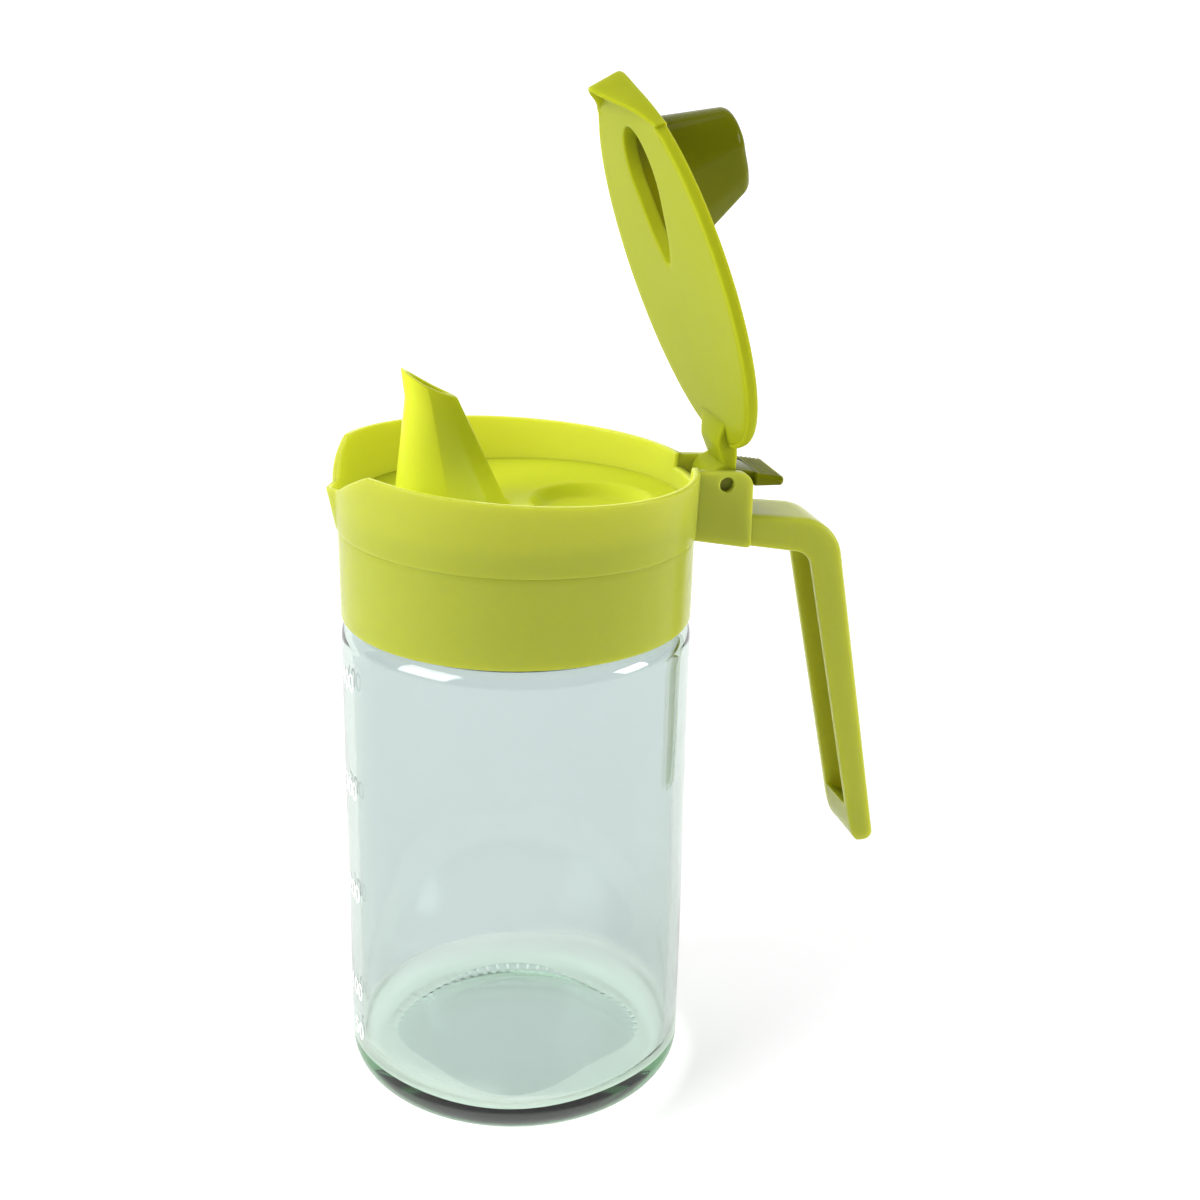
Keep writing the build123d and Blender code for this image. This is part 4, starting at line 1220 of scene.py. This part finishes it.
def lid_turns(count):
    """Directions from the cover's middle that are evenly spread round the plate's edge."""
    centre = COVER_FOOT[0] + DROP_WIDEST * (COVER_FOOT[1] - COVER_FOOT[0])
    fine = np.linspace(0.0, 2 * pi, 4001)
    reach = lid_edge(centre, fine)
    edge = np.stack([reach * np.cos(fine), reach * np.sin(fine)], axis=1)
    along = np.concatenate([[0.0], np.cumsum(np.linalg.norm(np.diff(edge, axis=0), axis=1))])
    blend = 0.6 * along / along[-1] + 0.4 * fine / (2 * pi)
    return np.interp((np.arange(count) + 0.5) / count, blend, fine)[None, :]


def cover_ring(turn, share, inset, height, shrink=0.0, scale=1.0):
    """One teardrop ring of the cover, at a share of its height, pulled in for its wall or a round edge."""
    front, back, half = cover_sizes(share, inset)
    centre = front + DROP_WIDEST * (back - front)
    distance = (teardrop(front, back, half, turn, COVER_CREASE) - shrink) * scale
    return from_lid_plane(centre + distance * np.cos(turn), distance * np.sin(turn), height + 0 * turn)


def cover_grid():
    """Rings from the middle of the cover's top, down its outside to the foot and up its inside."""
    turn = lid_turns(420)
    round_off = COVER_TOP_ROUND
    room_top = COVER_HEIGHT - COVER_WALL
    rows = [cover_ring(turn, 1.0, 0.0, COVER_HEIGHT, round_off, scale) for scale in (0.25, 0.6, 1.0)]
    for angle in np.radians([15, 30, 45, 60, 75, 90]):
        height = COVER_HEIGHT - round_off * (1 - cos(angle))
        rows.append(cover_ring(turn, height / COVER_HEIGHT, 0.0, height, round_off * (1 - sin(angle))))
    for share in np.linspace(0.0, 1.0, 30)[1:]:
        height = COVER_HEIGHT - round_off + (COVER_FOOT_HEIGHT - COVER_HEIGHT + round_off) * share
        rows.append(cover_ring(turn, height / COVER_HEIGHT, 0.0, height))
    for share in np.linspace(0.0, 1.0, 28):
        height = COVER_FOOT_HEIGHT + (room_top - MM - COVER_FOOT_HEIGHT) * share
        rows.append(cover_ring(turn, height / room_top, COVER_WALL, height))
    for angle in np.radians([30, 60, 90]):
        height = room_top - MM * (1 - sin(angle))
        rows.append(cover_ring(turn, height / room_top, COVER_WALL, height, MM * (1 - cos(angle))))
    rows += [cover_ring(turn, 1.0, COVER_WALL, room_top, MM, scale) for scale in (0.6, 0.25)]
    return np.concatenate(rows)


def lid_plate_grid():
    """Ring of rings: fillet under the cover, plate, bead, flap, underside, and up inside the cover's foot."""
    turn = lid_turns(420)
    ahead, aside = np.cos(turn), np.sin(turn)
    front, back, half = cover_sizes(0.0, 0.0)
    centre = front + DROP_WIDEST * (back - front)
    at_foot = teardrop(front, back, half, turn, COVER_CREASE)
    reach = lid_edge(centre, turn)
    drop = flap_drop(reach * aside, centre + reach * ahead)
    rows = []

    def row(distance, height):
        rows.append(from_lid_plane(centre + distance * ahead, distance * aside, height + 0 * turn))

    rows.append(cover_ring(turn, COVER_FOOT_HEIGHT / COVER_HEIGHT, 0.0, COVER_FOOT_HEIGHT))
    for angle in np.radians([15, 30, 45, 60, 75, 90]):
        row(at_foot + COVER_FILLET * (1 - cos(angle)), LID_PLATE + COVER_FILLET * (1 - sin(angle)))
    start = at_foot + COVER_FILLET
    stop = np.maximum(reach - BEAD_WIDTH, start + 0.3 * MM)
    for share in np.linspace(0.0, 1.0, 30)[1:]:
        row(start + (stop - start) * share, LID_PLATE)
    rise = BEAD_HEIGHT - LID_PLATE
    for share in (0.25, 0.5, 0.75, 1.0):
        row(stop + (reach - 1.2 * MM - stop) * share, LID_PLATE + rise * smooth_step(share, 0.0, 0.9))
    for angle in np.radians([18, 36, 54, 72, 90]):
        row(reach - 1.2 * MM * (1 - sin(angle)), BEAD_HEIGHT - 1.2 * MM * (1 - cos(angle)))
    high = BEAD_HEIGHT - 1.2 * MM
    lean = FLAP_LEAN * drop
    for share in np.linspace(0.0, 1.0, 8)[1:]:
        row(reach - lean * share, high + (0.5 * MM - drop - high) * share)
    for angle in np.radians([25, 50, 75]):
        row(reach - lean - 0.5 * MM * (1 - cos(angle)), 0.5 * MM * (1 - sin(angle)) - drop)
    row(reach - lean - 0.8 * MM, -drop)
    row(reach - lean - 1.0 * MM, 0.15 * MM - drop)
    for share in (0.33, 0.66, 1.0):
        row(reach - lean * (1 - share) - (1.0 + 0.4 * share) * MM, (0.15 * MM - drop) * (1 - share))
    lip = 0.5 * MM
    inner_front, inner_back, inner_half = cover_sizes(0.0, COVER_WALL)
    inner_centre = inner_front + DROP_WIDEST * (inner_back - inner_front)
    opening = teardrop(inner_front, inner_back, inner_half, turn, COVER_CREASE) + lip
    outer_x, outer_y = centre + (reach - FLAP_THICKNESS) * ahead, (reach - FLAP_THICKNESS) * aside
    inner_x, inner_y = inner_centre + opening * ahead, opening * aside
    for share in np.linspace(0.0, 1.0, 26)[1:]:
        x, y = outer_x + (inner_x - outer_x) * share, outer_y + (inner_y - outer_y) * share
        rows.append(from_lid_plane(x, y, 0 * turn))
    for angle in np.radians([30, 60, 90]):
        distance = opening - lip * sin(angle)
        x, y = inner_centre + distance * ahead, distance * aside
        rows.append(from_lid_plane(x, y, lip * (1 - cos(angle)) + 0 * turn))
    foot_share = COVER_FOOT_HEIGHT / (COVER_HEIGHT - COVER_WALL)
    for share in (0.35, 0.7, 1.0):
        height = lip + (COVER_FOOT_HEIGHT - lip) * share
        rows.append(cover_ring(turn, foot_share * share, COVER_WALL, height))
    return np.concatenate(rows)


def box_loft(along, low, high, half, edge):
    """Rounded boxes along a line: y = +-(w - e) + e cos t, height = middle +- (v - e) + e sin t."""
    turn = np.radians([0, 30, 60, 90, 90, 120, 150, 180, 180, 210, 240, 270, 270, 300, 330, 360])
    side_y = np.repeat([1, -1, -1, 1], 4)
    side_z = np.repeat([1, 1, -1, -1], 4)
    along, low, high, half = (value[:, None] for value in (along, low, high, half))
    middle, rise = (low + high) / 2, (high - low) / 2
    corner = np.minimum(edge, 0.95 * np.minimum(rise, half))
    y = side_y * (half - corner) + corner * np.cos(turn)
    height = middle + side_z * (rise - corner) + corner * np.sin(turn)
    return along + 0 * y, y, height


def neck_grid():
    """Neck and knuckle: boxes from the plate's edge, flaring at the root and closing round the pin's circle."""
    root, edge_x, block = 30.5 * MM, 38.0 * MM, PIN_X - KNUCKLE_RADIUS
    stations = np.concatenate(
        [
            np.linspace(root, edge_x, 22),
            np.linspace(edge_x, block - 0.02 * MM, 8)[1:],
            [block + 0.02 * MM],
            np.linspace(block + 0.3 * MM, PIN_X, 8),
            PIN_X + KNUCKLE_RADIUS * np.sin(np.radians([12, 24, 36, 48, 60, 72, 82, 88])),
        ]
    )
    under = LID_BASE + RIM_SLOPE * stations
    circle = np.sqrt(np.maximum(KNUCKLE_RADIUS**2 - (stations - PIN_X) ** 2, 0.0))
    drop = LID_BASE + RIM_SLOPE * RIM_RADIUS - 2.3 * MM
    slant = under + 0.1 * MM + (drop - under) * smooth_step(stations, root, root + 6.0 * MM)
    low = np.where(stations > block, PIN_HEIGHT - circle, slant)
    plate_top = under + LID_PLATE - 0.05 * MM
    knuckle_top = PIN_HEIGHT + np.where(stations > PIN_X, circle, KNUCKLE_RADIUS)
    high = plate_top + (knuckle_top - plate_top) * smooth_step(stations, edge_x, PIN_X)
    half = NECK_HALF + NECK_FLARE * (1 - smooth_step(stations, root, edge_x - 2.4 * MM))
    x, y, z = box_loft(stations, low, high, half, 0.5 * MM)
    return np.stack([x, y, z], axis=-1)


def stem_grid():
    """Block between the knuckle and the thumb lever, along the lever's own line."""
    stations = np.linspace(0.5, 7.8, 8) * MM
    same = np.ones_like(stations)
    low, high = (LEVER_TOP - LEVER_ROOT) * same, (LEVER_TOP - 0.1 * MM) * same
    along, y, height = box_loft(stations, low, high, NECK_HALF * same, 0.4 * MM)
    place = on_lever(along, height)
    return np.stack([place[..., 0], y, place[..., 1]], axis=-1)


def on_lever(distance, height):
    """A point a distance along the lever from the pin, and a height over its middle line."""
    x = PIN_X + cos(LEVER_RISE) * distance - sin(LEVER_RISE) * height
    z = PIN_HEIGHT + sin(LEVER_RISE) * distance + cos(LEVER_RISE) * height
    return np.stack([x, z], axis=-1)


def lever_grid():
    """Thumb plate: a section with five low ribs on top, carried across and rounded in at both ends."""
    along = np.linspace(LEVER_START, LEVER_REACH - 0.7 * MM, 64)
    y = HANDLE_HALF * np.concatenate([[-1.0, -0.985, -0.95, -0.9, -0.86], np.linspace(-0.8, 0.8, 9), [0.86, 0.9, 0.95, 0.985, 1.0]])
    window = 1 - smooth_step(np.abs(y), LEVER_HALF - 1.5 * MM, LEVER_HALF - 0.9 * MM)
    first = LEVER_REACH - 1.4 * MM
    away = np.abs((along - first + 0.5 * MM) % (1.0 * MM) - 0.5 * MM)
    ribs = 0.35 * MM * np.clip(1 - away / (0.3 * MM), 0, 1) * (along > first - 4.4 * MM) * (along < first + 0.4 * MM)
    rows = []
    for place, open_share in zip(y, window):
        end = np.clip((abs(place) - 0.9 * LEVER_HALF) / (0.1 * LEVER_HALF), 0.0, 1.0)
        shrink = 0.7 * MM * (1 - sqrt(1 - end**2))
        top = on_lever(along, LEVER_TOP - shrink + ribs * open_share)
        round_tip = on_lever(
            LEVER_REACH - shrink - 0.7 * MM + 0.7 * MM * np.cos(np.radians(np.linspace(80, -80, 9))),
            LEVER_TOP - LEVER_TIP / 2 + (LEVER_TIP / 2 - shrink) * np.sin(np.radians(np.linspace(80, -80, 9))),
        )
        low_share = np.linspace(1.0, 0.0, 24)
        low = on_lever(LEVER_START + (LEVER_REACH - 0.9 * MM - LEVER_START) * low_share, LEVER_TOP - LEVER_ROOT + (LEVER_ROOT - LEVER_TIP) * low_share + shrink)
        loop = np.concatenate([top, round_tip, low])
        rows.append(np.stack([loop[:, 0], place + 0 * loop[:, 0], loop[:, 1]], axis=-1))
    return np.stack(rows)


class OILBOTTLE_OT_lid(Operator):
    """Make the lid with its spout cover, flap, neck and thumb lever"""

    bl_idname = "oil_bottle.lid"
    bl_label = "Lid"

    def execute(self, context):
        look = context.scene.oil_bottle_plastic
        finish = plastic("lid_lime_plastic", look.lid_colour, 1.6 * look.gloss, 0.6, 0.01)
        # Darker copy of the lid's plastic, as painted shade, for the cover, the lever stem and the lever
        painted_shade_finish = plastic("lid_deep_lime_plastic", look.cover_shaded_colour, 0.5 * look.gloss, 0.5, 0.05)
        front, back, _ = COVER_HEAD
        middle = front + DROP_WIDEST * (back - front)
        tops = np.array([COVER_HEIGHT, COVER_HEIGHT - COVER_WALL])
        cover_poles = from_lid_plane(np.full(2, middle), np.zeros(2), tops)
        neck, stem, lever = neck_grid(), stem_grid(), lever_grid()
        shapes = (
            ("lid_plate_and_flap", lid_plate_grid(), None, finish),
            ("lid_spout_cover", cover_grid(), cover_poles, painted_shade_finish),
            ("lid_neck", neck, end_middles(neck), finish),
            ("lid_lever_stem", stem, end_middles(stem), painted_shade_finish),
            ("lid_thumb_lever", lever, end_middles(lever), painted_shade_finish),
        )
        for name, grid, poles, material in shapes:
            ends = None if poles is None else swung_open(poles)
            piece = make_piece(name, swung_open(grid), ends, crease=40.0)
            dress(piece, "lid", "lime_plastic_lid", material, "lid")
        return {"FINISHED"}


# ---------------------------------------------------------------- seal and pin, kept from the frame


class OILBOTTLE_OT_seal_and_pin(Operator):
    """Finish the frame's own sealing ring and hinge pin"""

    bl_idname = "oil_bottle.seal_and_pin"
    bl_label = "Seal and pin"

    def execute(self, context):
        look = context.scene.oil_bottle_plastic
        finishes = {
            "seal_ring": plastic("soft_seal_rubber", look.seal_colour, 0.6),
            # The pin's finish is darkened as painted shade of its recess
            "hinge_pin": plastic("pin_lime_plastic", look.pin_shaded_colour, 0.4, 0.0),
        }
        for name, finish in finishes.items():
            node = frame["nodes"][name]
            node.data.materials.clear()
            node.data.materials.append(finish)
        return {"FINISHED"}


# ---------------------------------------------------------------- stage


def backdrop_grid():
    """Floor that runs back, bends up over a quarter circle and goes on as a wall."""
    side = np.concatenate([[(-1.6, 0.0)], bend((1.1, 0.6), 0.6, -90, 0, 20), [(1.7, 0.6), (1.7, 3.0)]])
    across = np.linspace(-2.5, 2.5, 9)
    y, z = side[:, :1], side[:, 1:]
    return np.stack([across + 0 * y, y + 0 * across, z + 0 * across], axis=-1)


def add_light(name, place, target, size, power):
    """A square soft light that looks at a point."""
    data = bpy.data.lights.new(name, "AREA")
    data.shape, data.size, data.energy = "SQUARE", size, power
    light = bpy.data.objects.new(name, data)
    bpy.context.scene.collection.objects.link(light)
    aim = (Vector(target) - Vector(place)).to_track_quat("-Z", "Y")
    light.matrix_world = Matrix.Translation(place) @ aim.to_matrix().to_4x4()


def camera_matrix():
    """The photograph's viewpoint: yaw, pitch and roll about the jar's base frame, turned to the part's own."""
    yaw, pitch, roll, turn = 0.049, 0.335, 0.019, -0.2
    ahead = Vector((sin(yaw) * cos(pitch), cos(yaw) * cos(pitch), -sin(pitch)))
    right = Vector((cos(yaw), -sin(yaw), 0.0))
    up = right.cross(ahead)
    right, up = cos(roll) * right + sin(roll) * up, cos(roll) * up - sin(roll) * right
    axes = Matrix((right, up, -ahead)).transposed().to_4x4()
    return Matrix.Translation((-0.07315, -0.36084, 0.23932)) @ Matrix.Rotation(turn, 4, "Z") @ axes


class OILBOTTLE_OT_stage(Operator):
    """Make the floor, the lights and the camera"""

    bl_idname = "oil_bottle.stage"
    bl_label = "Stage"

    def execute(self, context):
        look = context.scene.oil_bottle_stage
        grid = backdrop_grid()
        rows, columns, _ = grid.shape
        quads = grid_quads(rows, columns, False)
        quads = quads[quads[:, 0] % columns != columns - 1]
        mesh = bpy.data.meshes.new("backdrop")
        mesh.from_pydata(grid.reshape(-1, 3).tolist(), [], quads.tolist())
        mesh.shade_smooth()
        mesh.materials.append(backdrop_paper(look.floor_colour))
        backdrop = bpy.data.objects.new("backdrop", mesh)
        context.scene.collection.objects.link(backdrop)
        middle = (0.0, 0.0, 0.1)
        add_light("key_light", (-1.2, -0.35, 0.75), middle, 0.9, look.key_power)
        add_light("fill_light", (1.2, -0.45, 0.5), middle, 0.5, look.fill_power)
        add_light("top_light", (-0.2, 0.3, 1.4), middle, 1.0, look.top_power)
        world = bpy.data.worlds.new("studio_air")
        world.use_nodes = True
        world.node_tree.nodes["Background"].inputs["Color"].default_value = (1.0, 1.0, 1.0, 1.0)
        world.node_tree.nodes["Background"].inputs["Strength"].default_value = 0.28
        context.scene.world = world
        data = bpy.data.cameras.new("camera")
        data.sensor_width, data.lens = 36.0, look.lens
        camera = bpy.data.objects.new("camera", data)
        context.scene.collection.objects.link(camera)
        camera.matrix_world = camera_matrix()
        context.scene.camera = camera
        context.scene.view_settings.view_transform = "Standard"
        return {"FINISHED"}


# ---------------------------------------------------------------- add-on


class OILBOTTLE_PT_pieces(Panel):
    """Lists the pieces of the oil bottle"""

    bl_idname = "OILBOTTLE_PT_pieces"
    bl_label = "Oil dispenser bottle"
    bl_space_type = "VIEW_3D"
    bl_region_type = "UI"
    bl_category = "Oil bottle"

    def draw(self, context):
        for maker in MAKERS:
            self.layout.operator(maker.bl_idname)


MAKERS = (
    OILBOTTLE_OT_glass_jar,
    OILBOTTLE_OT_printed_scale,
    OILBOTTLE_OT_head_wall,
    OILBOTTLE_OT_hinge_ears,
    OILBOTTLE_OT_handle,
    OILBOTTLE_OT_pouring_insert,
    OILBOTTLE_OT_lid,
    OILBOTTLE_OT_seal_and_pin,
    OILBOTTLE_OT_stage,
)
SETTINGS = {
    "oil_bottle_glass": OilBottleGlass,
    "oil_bottle_plastic": OilBottlePlastic,
    "oil_bottle_stage": OilBottleStage,
}


def register():
    """Makes the settings, operators and panel known to Blender."""
    for group in SETTINGS.values():
        bpy.utils.register_class(group)
    for name, group in SETTINGS.items():
        setattr(bpy.types.Scene, name, PointerProperty(type=group))
    for maker in (*MAKERS, OILBOTTLE_PT_pieces):
        bpy.utils.register_class(maker)


def unregister():
    """Takes them all away again."""
    for maker in (OILBOTTLE_PT_pieces, *reversed(MAKERS)):
        bpy.utils.unregister_class(maker)
    for name, group in SETTINGS.items():
        delattr(bpy.types.Scene, name)
        bpy.utils.unregister_class(group)


def main():
    """Makes every piece in order."""
    register()
    for maker in MAKERS:
        group, name = maker.bl_idname.split(".")
        getattr(getattr(bpy.ops, group), name)()


if __name__ == "__main__":
    main()
